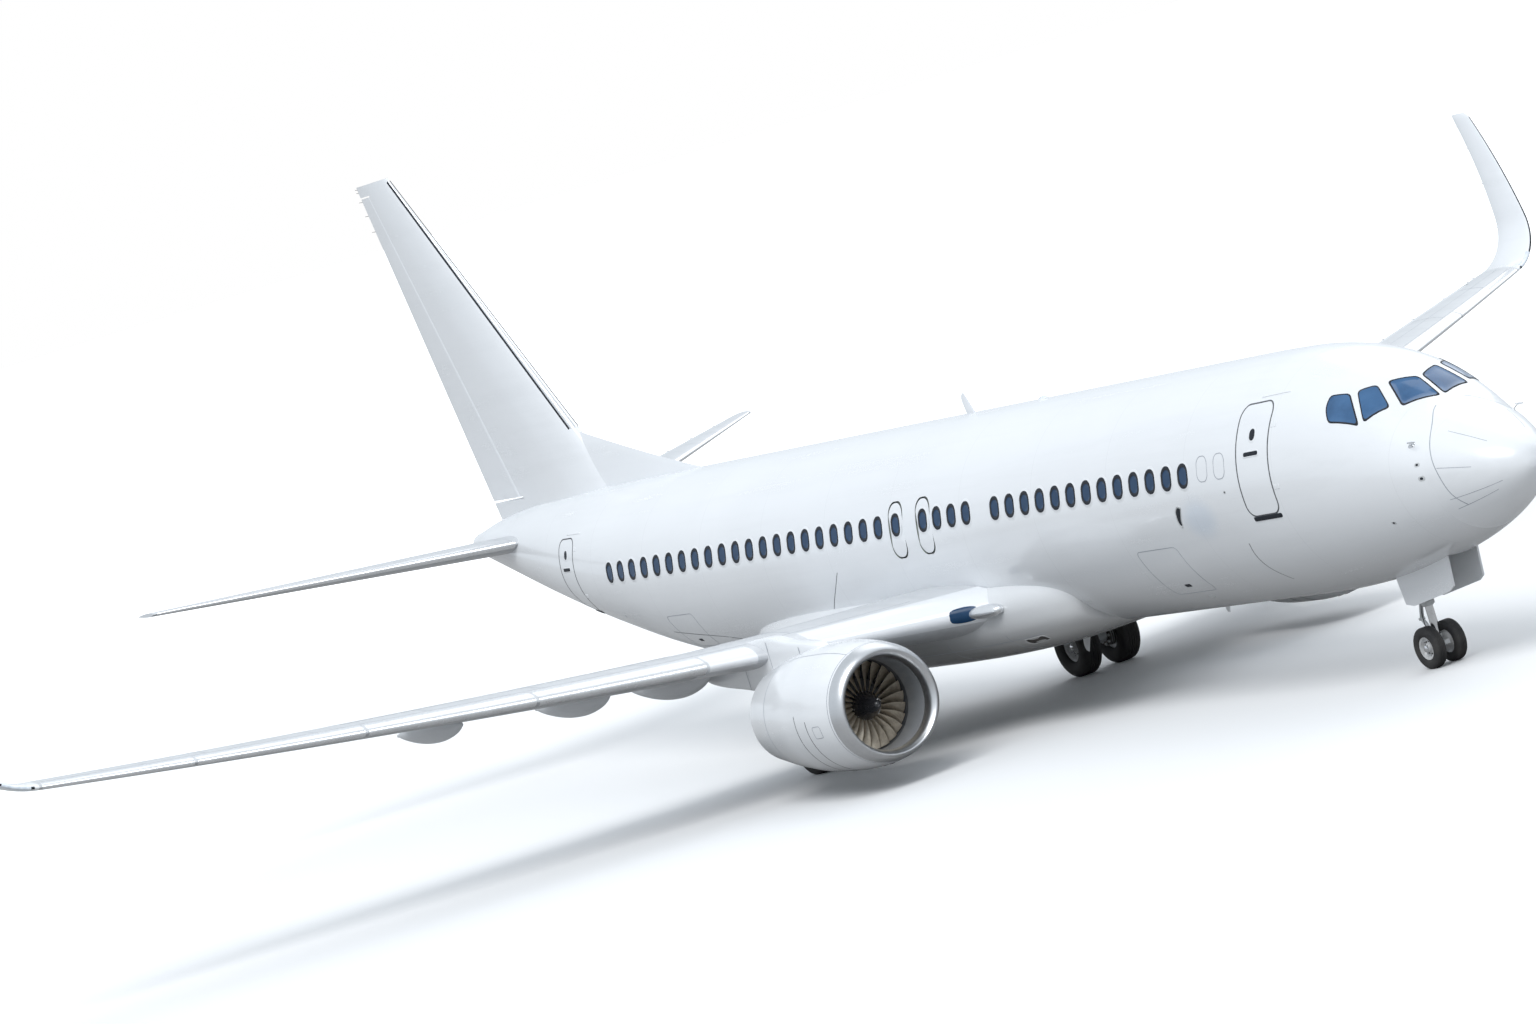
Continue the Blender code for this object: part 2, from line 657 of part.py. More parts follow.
def winglet(side, word):
    """The blended winglet: the wing's end carried up through a bend to a swept, narrow top."""
    total = winglet_length()
    shares = [GAP / total, 0.1, 0.2, 0.3, 0.42, 0.55, 0.8, 0.96, 1.0]
    leading_start = wing_leading(WING_END_X)
    chord_start = wing_trailing(WING_END_X) - leading_start
    rings = []
    for share in shares:
        x, z, lean = winglet_path(share * total)
        bend = share**0.8
        leading = leading_start + (WINGLET_TOP_LEADING - leading_start) * (0.62 * share + 0.38 * share**2)
        chord = chord_start + (WINGLET_TOP_CHORD - chord_start) * bend
        if share == 1.0:
            leading, chord = leading + 0.09, chord - 0.12
        thickness = between(min(1, share * 3), (0, 1), (THICKNESS_TIP, WINGLET_THICKNESS))
        twist = TIP_INCIDENCE * (1 - share)
        ring = []
        for aft, up in foil_ring(chord, thickness):
            lift = up - (aft - 0.3 * chord) * math.tan(twist)
            ring.append(
                place(side * (x - lift * math.sin(lean)), leading + aft, height(z + lift * math.cos(lean)))
            )
        rings.append(ring)
    return loft(f"winglet_{word}", rings)


# Tail


def fin_ring(z, front=0.0, back=1.0, grow=0.0):
    """The fin's outline at a height."""
    leading = between(z, (FIN_BASE_Z, FIN_TOP_Z), FIN_LEADING)
    chord = between(z, (FIN_BASE_Z, FIN_TOP_Z), FIN_TRAILING) - leading
    outline = foil_ring(chord, FIN_THICKNESS, front, back, grow, camber=False)
    return [place(across, leading + aft, height(z)) for aft, across in outline]


def fin(hull_cutter):
    """The fixed fin with the dorsal fin in front of it, less the space the rudder swings in."""
    piece = loft("fin", [fin_ring(z) for z in (FIN_ROOT_Z, 4.5, FIN_TOP_Z)])
    meet = between(DORSAL_TOP_Z, (FIN_BASE_Z, FIN_TOP_Z), FIN_LEADING)
    rings = []
    for t in (0.0, 0.25, 0.5, 0.75, 1.0):
        s = DORSAL_START + (meet + 1.2 - DORSAL_START) * t
        top = 1.86 + (DORSAL_TOP_Z + 0.28 - 1.86) * t
        half = 0.02 + 0.19 * t
        corners = (-half, 1.2), (half, 1.2), (0.01, top), (-0.01, top)
        rings.append([place(x, s, height(z)) for x, z in corners])
    join(piece, loft("dorsal_fin", rings))
    outline = []
    for z in (RUDDER_Z[0] - RUDDER_ROOM_BELOW, RUDDER_Z[1] + RUDDER_ROOM_ABOVE):
        point = np.array(fin_ring(z, front=RUDDER_HINGE)[0])
        outline.append((point[1] + LENGTH / 2 - 1.1 * abs(point[0]) - CLEAR, height(z)))
    outline += [(41.0, outline[1][1]), (41.0, outline[0][1])]
    cut(piece, prism_across("rudder_bay", outline, -1.0, 1.0))
    return cut(piece, hull_cutter)


def rudder(fixed_fin):
    """The rudder, hinged on the fin's rear spar, which slopes aft."""
    rings = [fin_ring(z, front=RUDDER_HINGE) for z in RUDDER_Z]
    piece = control_surface("rudder", rings, 1.08)
    hinge_pins(piece, fixed_fin, *(outline_middle(ring) for ring in rings), SURFACE_PIN, 0.07)
    return piece


def stabiliser_ring(side, x, front=0.0, back=1.0, grow=0.0):
    """The stabiliser's outline at a side distance."""
    leading = between(x, STABILISER_X, STABILISER_LEADING)
    chord = between(x, STABILISER_X, STABILISER_TRAILING) - leading
    z = STABILISER_HEIGHT + (x - 0.9) * math.tan(STABILISER_DIHEDRAL)
    ring = []
    for aft, up in foil_ring(chord, STABILISER_THICKNESS, front, back, grow, camber=False):
        out = x - up * math.sin(STABILISER_DIHEDRAL)
        ring.append(place(side * out, leading + aft, height(z + up * math.cos(STABILISER_DIHEDRAL))))
    return ring


def stabiliser(side, word, hull_cutter):
    """The fixed part of the stabiliser, less the space that the elevator moves in."""
    piece = loft(f"stabiliser_{word}", [stabiliser_ring(side, x) for x in (0.3, 2.5, 7.0, STABILISER_X[1])])
    outline = []
    for x in (ELEVATOR_X[0] - ELEVATOR_ROOM, ELEVATOR_X[1] + ELEVATOR_ROOM):
        ring = stabiliser_ring(side, x, front=ELEVATOR_HINGE)
        half = np.linalg.norm(np.array(ring[0]) - np.array(ring[-1])) / 2
        outline.append((side * x, ring[0][1] + LENGTH / 2 - 1.1 * half - CLEAR))
    outline += [(outline[1][0], 41.0), (outline[0][0], 41.0)]
    cut(piece, prism_up(f"elevator_bay_{word}", outline, height(0.2), height(3.0)))
    inner = side * (ELEVATOR_X[0] - ELEVATOR_ROOM)
    root = [(0.0, 37.0), (inner, 37.0), (inner, 41.0), (0.0, 41.0)]
    cut(piece, prism_up(f"root_end_{word}", root, height(0.2), height(3.0)))
    return cut(piece, hull_cutter)


def elevator(side, word, fixed_stabiliser):
    """The elevator, hinged on the stabiliser's rear spar."""
    rings = [stabiliser_ring(side, x, front=ELEVATOR_HINGE) for x in ELEVATOR_X]
    piece = control_surface(f"elevator_{word}", rings, 1.05)
    hinge_pins(piece, fixed_stabiliser, *(outline_middle(ring) for ring in rings), SURFACE_PIN, 0.055)
    return piece


# Engines


def engine_point(side, along, angle, radius, flattened=True):
    """A point round the engine's axis: angle 0 is up, and the cowl's underside is flattened."""
    up = radius * math.cos(angle)
    if flattened and up < 0:
        up *= COWL_FLATTENING
    return place(side * ENGINE_X + radius * math.sin(angle), LIP_STATION + along, height(ENGINE_HEIGHT) + up)


def cowl_hoop(name, side, outer, inner, paint):
    """A hoop whose wall runs along the outer line and back along the inner one."""
    rings = []
    for k in range(COWL_SIDES):
        a = 2 * math.pi * k / COWL_SIDES
        rings.append(
            [engine_point(side, s, a, r) for s, r in outer]
            + [engine_point(side, s, a, r, flattened=False) for s, r in inner]
        )
    return loft(name, rings, paint, closed=True)


def inlet_lip(side, word):
    """The bare metal lip round the engine's mouth."""
    end = LIP_LENGTH - GAP
    outer = [p for p in COWL_OUTER if p[0] < LIP_LENGTH] + [(end, LIP_OUTER_RADIUS)]
    inner = [(end, LIP_INNER_RADIUS)] + [p for p in COWL_INNER if p[0] < LIP_LENGTH]
    return cowl_hoop(f"inlet_lip_{word}", side, outer, inner, "polished_metal")


def pylon_outline(side, grow):
    """Side view of the pylon as (station, height above ground), grown a little for a cutter."""
    points = np.array([(LIP_STATION + s, height(ENGINE_HEIGHT) + z) for s, z in PYLON])
    middle = points.mean(axis=0)
    away = points - middle
    return [tuple(p) for p in points + grow * away / np.linalg.norm(away, axis=1)[:, None] * 2]


def pylon_block(name, side, grow=0.0):
    """The pylon before it is cut to meet the wing and the engine."""
    x = side * ENGINE_X
    half = PYLON_HALF_WIDTH + grow
    return prism_across(name, pylon_outline(side, grow), x - half, x + half)


def nacelle(side, word):
    """The fan cowl and the reverser sleeve, slotted at the top for the pylon."""
    outer = [(LIP_LENGTH, LIP_OUTER_RADIUS)] + [p for p in COWL_OUTER if p[0] > LIP_LENGTH]
    inner = [p for p in COWL_INNER if p[0] > LIP_LENGTH] + [(LIP_LENGTH, LIP_INNER_RADIUS)]
    piece = cowl_hoop(f"nacelle_{word}", side, outer, inner, "white_paint")
    return cut(piece, pylon_block(f"pylon_slot_{word}", side, GAP))


def engine_profile(name, side, profile, paint, sides=20):
    centre = place(side * ENGINE_X, LIP_STATION, height(ENGINE_HEIGHT))
    return turned(name, "y", centre, profile, paint, sides)


def engine_core(side, word):
    """The engine itself as one heavy block, with the core nozzle and its plug at the back."""
    piece = engine_profile(f"engine_core_{word}", side, CORE, "titanium")
    wide = bore_radius(SHAFT_RADIUS, FAN_BLADES)
    socket = [(CORE[0][0] - 0.1, wide), (CORE[0][0] + 0.16, wide)]
    cut(piece, engine_profile(f"shaft_socket_{word}", side, socket, "steel", FAN_BLADES))
    return cut(piece, pylon_block(f"pylon_foot_{word}", side, GAP))


def pylon(side, word):
    """The pylon that hangs the engine from the wing."""
    piece = pylon_block(f"pylon_{word}", side)
    return cut(piece, wing_solid(f"wing_over_pylon_{word}", side, GAP))


def blade_section(side, along, turn, radius, lean, chord):
    """Four corners of a blade's section: front edge, one face, back edge and the other face."""
    corners = []
    for share, thick in ((-0.5, 0.0), (0.0, 0.5), (0.5, 0.0), (0.0, -0.5)):
        aft = chord * share * math.cos(lean) - BLADE_THICKNESS * thick * math.sin(lean)
        round_way = chord * share * math.sin(lean) + BLADE_THICKNESS * thick * math.cos(lean)
        corners.append(engine_point(side, along + aft, turn + math.atan(round_way / radius), radius, False))
    return corners


def fan(side, word):
    """The fan: hub, spinner and shaft end, with a twisted blade on each side face of the hub."""
    hub = [(s + FAN_STATION, r) for s, r in HUB]
    step = 2 * math.pi / FAN_BLADES
    bm = bmesh.new()
    rings = []
    for along, r in hub:
        rings.append([bm.verts.new(engine_point(side, along, step * k, r, False)) for k in range(FAN_BLADES)])
    for row, (near, far) in enumerate(zip(rings, rings[1:])):
        for k in range(FAN_BLADES):
            j = (k + 1) % FAN_BLADES
            corners = near[k], near[j], far[j], far[k]
            if row != BLADE_ROW:
                bm.faces.new(corners)
                continue
            flat = HUB_RADIUS * math.cos(step / 2)
            middle, turn = (hub[row][0] + hub[row + 1][0]) / 2, step * (k + 0.5)
            root = [bm.verts.new(p) for p in blade_section(side, middle, turn, flat, 0.22, 0.19)]
            tip = [bm.verts.new(p) for p in blade_section(side, middle, turn, FAN_RADIUS, 1.05, 0.25)]
            for i in range(4):
                n = (i + 1) % 4
                bm.faces.new((corners[i], corners[n], root[n], root[i]))
                bm.faces.new((root[i], root[n], tip[n], tip[i]))
            bm.faces.new(tip)
    bm.faces.new(rings[0])
    bm.faces.new(rings[-1])
    return solid(f"fan_{word}", bm, "titanium")


# Wheels


def wheel_pair(name, centre, offset, rim_radius, half_width, axle_radius, sides):
    """Two rims on one axle."""
    out, inn = offset + half_width, offset - half_width
    half = [(inn, axle_radius), (inn, rim_radius * 0.55), (inn + 0.02, rim_radius), (out, rim_radius)]
    half += [(out, rim_radius * 0.86), (out - 0.06, rim_radius * 0.7), (out - 0.02, rim_radius * 0.25)]
    profile = [(-along, r) for along, r in reversed(half)] + half
    return turned(name, "x", centre, profile, "gear_paint", sides)


def tyre(name, centre, radius, width, rim_radius, sides):
    """A tyre as a hoop of rounded section on its rim."""
    w, inner = width / 2, rim_radius + 1.3 * GAP
    wall = radius - inner
    section = [(-0.7 * w, inner), (-0.95 * w, inner + 0.3 * wall), (-w, inner + 0.55 * wall)]
    section += [(-0.88 * w, inner + 0.86 * wall), (-0.55 * w, radius), (0.55 * w, radius)]
    section += [(0.88 * w, inner + 0.86 * wall), (w, inner + 0.55 * wall), (0.95 * w, inner + 0.3 * wall)]
    section += [(0.7 * w, inner)]
    rings = []
    for k in range(sides):
        a = 2 * math.pi * (k + 0.5) / sides
        scale = 1 / math.cos(math.pi / sides)
        ring = []
        for along, r in section:
            r = r * scale if r == radius else r
            ring.append((centre[0] + along, centre[1] + r * math.sin(a), centre[2] - r * math.cos(a)))
        rings.append(ring)
    return loft(name, rings, "tyre_rubber", closed=True)


def leg_box(name, centre, half, paint="gear_paint"):
    low = [c - h for c, h in zip(centre, half)]
    high = [c + h for c, h in zip(centre, half)]
    return box(name, low, high, paint)


# Main gear


def main_gear_leg(side, word):
    """The main leg: trunnion, cylinder, piston, torsion links, side brace and the axle's barrel."""
    x, s = side * MAIN_X, MAIN_STATION
    axle = MAIN_TYRE_RADIUS
    piece = turned(
        f"main_gear_leg_{word}",
        "z",
        place(x, s, 0),
        [(axle, 0.085), (1.12, 0.085), (1.12, 0.135), (1.22, 0.135), (1.22, 0.12), (2.12, 0.12)],
        "gear_paint",
    )
    half_gap = SLOT_HALF_LENGTH - GAP
    join(piece, rod(f"trunnion_{word}", place(x, s - half_gap, 2.06), place(x, s + half_gap, 2.06), 0.09))
    join(piece, rod(f"barrel_{word}", place(x - 0.16, s, axle), place(x + 0.16, s, axle), 0.115))
    brace_end = place(side * 1.98, s, 1.8)
    join(piece, rod(f"side_brace_{word}", place(x, s, 1.2), brace_end, 0.055))
    lug_ends = (place(side * 1.98, s + way * half_gap, 1.8) for way in (-1, 1))
    join(piece, rod(f"brace_lug_{word}", *lug_ends, 0.06))
    knee = place(x, s + 0.36, 0.93)
    join(piece, rod(f"upper_link_{word}", place(x, s + 0.08, 1.17), knee, 0.045))
    join(piece, rod(f"lower_link_{word}", place(x, s + 0.07, axle + 0.1), knee, 0.045))
    outer = side * (MAIN_X + 0.19)
    for z in (1.3, 1.85):
        join(piece, rod(f"door_rod_{word}_{z}", place(x, s, z), place(outer, s, z), 0.03))
    bore = bore_radius(MAIN_AXLE_RADIUS, MAIN_WHEEL_SIDES)
    ends = [(-0.3, bore), (0.3, bore)]
    cut(piece, turned(f"axle_bore_{word}", "x", place(x, s, axle), ends, sides=MAIN_WHEEL_SIDES))
    return piece


def main_gear_door(side, word):
    """The door that the main leg carries on its outer side."""
    x = side * (MAIN_X + 0.19)
    s = MAIN_STATION
    x0, x1 = x + side * GAP, x + side * 0.035
    outline = [(s - 0.2, 1.16), (s + 0.2, 1.16), (s + 0.22, 1.96), (s - 0.22, 1.96)]
    return prism_across(f"main_gear_door_{word}", outline, x0, x1, "grey_paint")


def well_cutters(word, side, stem):
    """The round well that the wheels fold into and the slot for the leg, as cutters."""
    s = MAIN_STATION
    x = side * WELL_X
    well_profile = [(0.6, WELL_RADIUS), (WELL_ROOF, WELL_RADIUS)]
    well = turned(f"well_{stem}_{word}", "z", place(x, s, 0), well_profile, sides=24)
    inner, middle, outer = side * WELL_X, side * 1.9, side * SLOT_OUTER_X
    low, high = s - SLOT_HALF_LENGTH, s + SLOT_HALF_LENGTH
    inner_outline = [(inner, low), (middle, low), (middle, high), (inner, high)]
    inner_slot = prism_up(f"inner_slot_{stem}_{word}", inner_outline, 0.6, WELL_ROOF - 0.02)
    middle_in = side * 1.88
    outer_outline = [(middle_in, low), (outer, low), (outer, high), (middle_in, high)]
    outer_slot = prism_up(f"outer_slot_{stem}_{word}", outer_outline, 0.6, SLOT_ROOF)
    return well, inner_slot, outer_slot


# Nose gear


def nose_gear_leg():
    """The fixed nose leg: trunnion, outer cylinder with the piston's bore, and the drag brace."""
    s = NOSE_STATION
    piece = turned(
        "nose_gear_leg",
        "z",
        place(0, s, 0),
        [(0.98, 0.085), (1.02, NOSE_LEG_RADIUS), (2.2, NOSE_LEG_RADIUS)],
        "gear_paint",
    )
    reach = BAY_HALF_WIDTH - GAP
    join(piece, rod("nose_trunnion", place(-reach, s, 2.12), place(reach, s, 2.12), 0.07))
    join(piece, rod("nose_drag_brace", place(0, s, 1.62), place(0, 3.02, 2.2), 0.05))
    join(piece, rod("nose_brace_lug", place(-reach, 3.02, 2.2), place(reach, 3.02, 2.2), 0.05))
    bore = bore_radius(NOSE_PISTON_RADIUS, PISTON_SIDES)
    bore_ends = [(0.9, bore), (1.5, bore)]
    return cut(piece, turned("piston_bore", "z", place(0, s, 0), bore_ends, sides=PISTON_SIDES))


def nose_gear_fork():
    """The part of the nose leg that steers: piston, collar, torsion links, axle barrel, lamp and tow lug."""
    s = NOSE_STATION
    axle = NOSE_TYRE_RADIUS
    piston = [(axle, NOSE_PISTON_RADIUS), (1.45, NOSE_PISTON_RADIUS)]
    piece = turned("nose_gear_fork", "z", place(0, s, 0), piston, sides=PISTON_SIDES)
    join(piece, rod("nose_barrel", place(-0.09, s, axle), place(0.09, s, axle), 0.075))
    knee = place(0, s + 0.3, 0.78)
    join(piece, rod("nose_lower_link", place(0, s + 0.04, axle + 0.1), knee, 0.035))
    join(piece, rod("nose_upper_link", place(0, s + 0.14, 1.18), knee, 0.035))
    collar = turned("collar", "z", place(0, s, 0), [(1.12, 0.16), (1.26, 0.16)])
    inner = turned("collar_bore", "z", place(0, s, 0), [(1.0, 0.108), (1.4, 0.108)])
    join(piece, cut(collar, inner))
    lamp_back, lamp_front = (place(0, s - reach, 1.19) for reach in TAXI_LAMP_REACH)
    join(piece, rod("taxi_lamp", lamp_back, lamp_front, 0.05, end_radius=0.075))
    join(piece, leg_box("tow_lug", place(0, s - 0.12, axle + 0.02), (0.05, 0.1, 0.035)))
    bore = bore_radius(NOSE_AXLE_RADIUS, NOSE_WHEEL_SIDES)
    ends = [(-0.2, bore), (0.2, bore)]
    return cut(piece, turned("nose_axle_bore", "x", place(0, s, axle), ends, sides=NOSE_WHEEL_SIDES))


def nose_gear_door(side, word):
    """One of the two doors that hang along the nose bay while the gear is down."""
    x0, x1 = side * (BAY_HALF_WIDTH - 0.035), side * (BAY_HALF_WIDTH - GAP)
    outline = [(2.62, 1.9), (2.7, 1.3), (2.85, 1.22), (3.95, 1.06), (4.18, 1.1), (4.26, 1.7)]
    return prism_across(f"nose_gear_door_{word}", outline, x0, x1)


# Overwing exits


def exit_box(name, side, station, spare, depth):
    """The block of space round one overwing exit, larger by spare on every side."""
    half = EXIT_HALF_WIDTH + spare
    inner_bottom = side * (HULL_RADIUS - depth - spare)
    inner_top = side * (math.sqrt(HULL_RADIUS**2 - EXIT_TOP**2) - depth - spare)
    bottom, top = height(EXIT_BOTTOM - spare), height(EXIT_TOP + spare)
    inner_middle = side * (HULL_RADIUS - 0.03 - depth - spare), height(0.32)
    outer = side * 2.1
    outline = [(inner_bottom, bottom), (outer, bottom), (outer, top), (inner_top, top), inner_middle]
    rings = [[place(x, station + way * half, z) for x, z in outline] for way in (-1, 1)]
    return loft(name, rings)


def overwing_exit(side, word, which, station, fuselage):
    """An overwing exit hatch: a piece of the hull's wall, hinged at its top edge."""
    piece = exit_box(f"exit_{which}_{word}", side, station, 0.0, EXIT_DEPTH)
    boolean(piece, hull_length(f"hull_for_exit_{which}_{word}", 12.0, 24.0), "INTERSECT")
    z = EXIT_TOP - EXIT_HINGE_DROP
    x = side * (math.sqrt(HULL_RADIUS**2 - z**2) - EXIT_HINGE_DEPTH)
    ends = [place(x, station + way * EXIT_HALF_WIDTH, height(z)) for way in (-1, 1)]
    hinge_pins(piece, fuselage, *ends, 0.009, EXIT_CLEAR)
    return piece


# The aircraft


def hull_pieces():
    """Radome, fuselage and tail cone, with the gear bay, the wheel wells and the exits cut out."""
    hull_length("radome", NOSE_END_STATION, RADOME_END - GAP)
    body = hull_length("fuselage", RADOME_END, TAIL_CONE_START - GAP)
    hull_length("tail_cone", TAIL_CONE_START, HULL_LENGTH)
    half = BAY_HALF_WIDTH
    bay = [(-half, BAY_START), (half, BAY_START), (half, BAY_END), (-half, BAY_END)]
    cut(body, prism_up("nose_bay", bay, 0.8, BAY_ROOF))
    for word, side in SIDES.items():
        cut(body, *well_cutters(word, side, "hull"))
        for which, station in EXIT_STATIONS.items():
            cut(body, exit_box(f"exit_hole_{which}_{word}", side, station, EXIT_CLEAR, EXIT_HOLE_DEPTH))
    for name, (x, station) in (("nose", NOSE_JACK), ("tail", TAIL_JACK)):
        join(body, jack_pad(f"jack_pad_{name}", x, station, height(hull_section(station)[3])))
    belly = fairing("belly_fairing")
    cut(belly, hull_length("hull_over_fairing", 6.2, 28.8, GAP))
    for word, side in SIDES.items():
        cut(belly, *well_cutters(word, side, "belly"))
    return body


def wing_pieces(side, word, fuselage):
    """Wing, winglet, flaps, aileron and the overwing exits of one side."""
    wing = wing_solid(f"wing_{word}", side)
    cut(wing, flap_bay(f"flap_bay_{word}", side), aileron_bay(f"aileron_bay_{word}", side))
    cut(wing, fairing(f"fairing_in_wing_{word}", GAP), hull_length(f"hull_in_wing_{word}", 6.2, 28.8, GAP))
    cut(wing, *well_cutters(word, side, "wing"))
    x, station = WING_JACK
    join(wing, jack_pad(f"jack_pad_{word}", side * x, station, wing_underside(x, station)))
    winglet(side, word)
    flaps(side, word)
    aileron(side, word, wing)
    for which, station in EXIT_STATIONS.items():
        overwing_exit(side, word, which, station, fuselage)


def gear_pieces(side, word):
    """Main leg, its door, its pair of wheels and their tyres on one side."""
    main_gear_leg(side, word)
    main_gear_door(side, word)
    centre = place(side * MAIN_X, MAIN_STATION, MAIN_TYRE_RADIUS)
    size = MAIN_WHEEL_OFFSET, MAIN_RIM_RADIUS, 0.15, MAIN_AXLE_RADIUS, MAIN_WHEEL_SIDES
    wheel_pair(f"main_wheels_{word}", centre, *size)
    size = MAIN_TYRE_RADIUS, MAIN_TYRE_WIDTH, MAIN_RIM_RADIUS, MAIN_WHEEL_SIDES
    for name, way in (("outer", side), ("inner", -side)):
        middle = (centre[0] + way * MAIN_WHEEL_OFFSET, centre[1], centre[2])
        tyre(f"main_tyre_{name}_{word}", middle, *size)


def main():
    for obj in list(bpy.data.objects):
        bpy.data.objects.remove(obj)
    fuselage = hull_pieces()
    tail_cutter = hull_length("hull_under_fin", 24.0, HULL_LENGTH, GAP)
    rudder(fin(tail_cutter))
    for word, side in SIDES.items():
        wing_pieces(side, word, fuselage)
        hull_cutter = hull_length(f"hull_in_stabiliser_{word}", 24.0, HULL_LENGTH, GAP)
        elevator(side, word, stabiliser(side, word, hull_cutter))
        inlet_lip(side, word)
        nacelle(side, word)
        engine_core(side, word)
        fan(side, word)
        pylon(side, word)
        gear_pieces(side, word)
        nose_gear_door(side, word)
        middle = place(side * NOSE_WHEEL_OFFSET, NOSE_STATION, NOSE_TYRE_RADIUS)
        size = NOSE_TYRE_RADIUS, NOSE_TYRE_WIDTH, NOSE_RIM_RADIUS, NOSE_WHEEL_SIDES
        tyre(f"nose_tyre_{word}", middle, *size)
    nose_gear_leg()
    nose_gear_fork()
    axle = place(0, NOSE_STATION, NOSE_TYRE_RADIUS)
    size = NOSE_WHEEL_OFFSET, NOSE_RIM_RADIUS, 0.075, NOSE_AXLE_RADIUS, NOSE_WHEEL_SIDES
    wheel_pair("nose_wheels", axle, *size)


main()
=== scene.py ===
"""The looks of a twin-engined airliner parked on its landing gear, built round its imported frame.

Lengths are metres. The nose points to -Y, the port wing to +X, up is +Z and the ground is z = 0.
A station is the distance aft of the nose tip. Heights called z are above the hull's widest line,
and the functions that make points raise them to the ground's zero.
"""

import math
from functools import partial

import bmesh
import bpy
import numpy as np
from mathutils import Matrix


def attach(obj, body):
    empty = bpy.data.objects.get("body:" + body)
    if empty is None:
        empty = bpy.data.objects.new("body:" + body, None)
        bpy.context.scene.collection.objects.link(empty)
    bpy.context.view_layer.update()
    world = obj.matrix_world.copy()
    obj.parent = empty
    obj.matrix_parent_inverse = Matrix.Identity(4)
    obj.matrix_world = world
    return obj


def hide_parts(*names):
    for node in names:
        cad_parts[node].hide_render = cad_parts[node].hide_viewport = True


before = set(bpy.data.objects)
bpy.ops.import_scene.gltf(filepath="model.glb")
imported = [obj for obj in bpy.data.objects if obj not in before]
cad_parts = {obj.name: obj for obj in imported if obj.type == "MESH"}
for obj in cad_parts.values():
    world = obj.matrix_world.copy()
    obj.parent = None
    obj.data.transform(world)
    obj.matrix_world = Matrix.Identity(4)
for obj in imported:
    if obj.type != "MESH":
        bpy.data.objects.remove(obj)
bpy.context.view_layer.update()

bl_info = {
    "name": "Parked airliner",
    "version": (1, 0, 0),
    "blender": (4, 5, 0),
    "location": "3D View > Sidebar > Airliner",
    "description": "Builds the skins, windows, engines, landing gear and finishes of a parked airliner",
    "category": "Object",
}

# Measures shared with the frame
LENGTH = 39.47
WIDEST_LINE = 3.55
SIDES = {"left": 1, "right": -1}
HULL_LENGTH = 38.02
HULL_RADIUS = 1.88
NOSE_LENGTH, NOSE_TIP, KEEL = 6.2, -0.55, -2.13
RADOME_END = 1.32
TAIL_CONE_START = 36.95
CROWN = [(0.0, -0.55), (0.05, -0.36), (0.2, -0.17), (0.6, 0.1), (1.2, 0.4), (1.75, 0.66), (2.25, 1.03)]
CROWN += [(2.8, 1.36), (3.4, 1.58), (4.3, 1.77), (5.3, 1.86), (6.5, 1.88), (31.0, 1.88), (34.0, 1.83)]
CROWN += [(36.5, 1.63), (HULL_LENGTH, 1.4)]
TAIL_KEEL = [(24.3, -2.13), (26.0, -2.0), (28.0, -1.62), (30.5, -1.0), (33.0, -0.32), (35.5, 0.37)]
TAIL_KEEL += [(HULL_LENGTH, 1.02)]
TAIL_WIDTH = [(25.0, 1.88), (27.5, 1.83), (30.0, 1.64), (32.5, 1.32), (35.0, 0.88), (37.0, 0.45)]
TAIL_WIDTH += [(HULL_LENGTH, 0.2)]
TAIL_LINE = [(24.0, 0.0), (28.0, 0.14), (31.0, 0.44), (34.0, 0.82), (36.5, 1.1), (HULL_LENGTH, 1.21)]
ROOT_X, GLOVE_X, KINK_X, WING_END_X, TIP_X = 1.88, 4.3, 5.5, 16.3, 17.895
ROOT_LEADING, ROOT_TRAILING, ROOT_Z = 14.35, 20.92, -1.35
KINK_LEADING, KINK_TRAILING = 17.26, 21.26
LEADING_SLOPE, TRAILING_SLOPE = 0.5228, 0.287
DIHEDRAL, TIP_BEND = math.radians(6.0), 0.55
FLAP_FRONT = [(2.3, 19.93), (KINK_X, 19.98), (12.35, 22.42)]
AILERON_X, AILERON_HINGE = (12.55, 15.6), 0.76
TRACK_FAIRINGS = [(5.25, 18.9, 22.25, 0.25), (7.0, 19.4, 22.55, 0.22), (9.45, 20.3, 23.2, 0.2)]
FIN_LEADING, FIN_TRAILING, FIN_Z = (30.95, 37.1), (36.75, 38.67), (1.85, 9.0)
RUDDER_HINGE, RUDDER_Z = 0.72, (2.02, 8.72)
STABILISER_X, STABILISER_DIHEDRAL = (0.3, 7.175), math.radians(7.0)
STABILISER_LEADING, STABILISER_TRAILING = (33.78, 38.62), (37.55, 39.47)
ELEVATOR_X, ELEVATOR_HINGE = (1.15, 6.85), 0.7
ENGINE_X, ENGINE_Z, LIP_STATION = 4.83, -2.1, 13.45
COWL_FLATTENING = 0.95
COWL_OUTER = [(0.0, 0.9), (0.03, 0.952), (0.1, 0.998), (0.24, 1.046), (0.6, 1.105), (1.1, 1.138)]
COWL_OUTER += [(1.8, 1.132), (2.6, 1.045), (3.55, 0.87)]
COWL_INNER = [(0.03, 0.86), (0.1, 0.815), (0.24, 0.785), (0.6, 0.785), (1.0, 0.792), (1.35, 0.84)]
COWL_INNER += [(2.6, 0.88), (3.55, 0.84)]
FAN_STATION, FAN_RADIUS, HUB_RADIUS = 0.98, 0.765, 0.25
MAIN_STATION, MAIN_X, MAIN_TYRE_RADIUS = 19.64, 2.86, 0.565
NOSE_STATION, NOSE_TYRE_RADIUS = 4.04, 0.343
EXIT_STATIONS = {"forward": 15.99, "aft": 17.0}
EXIT_HALF_WIDTH, EXIT_BOTTOM, EXIT_TOP = 0.255, -0.17, 0.8
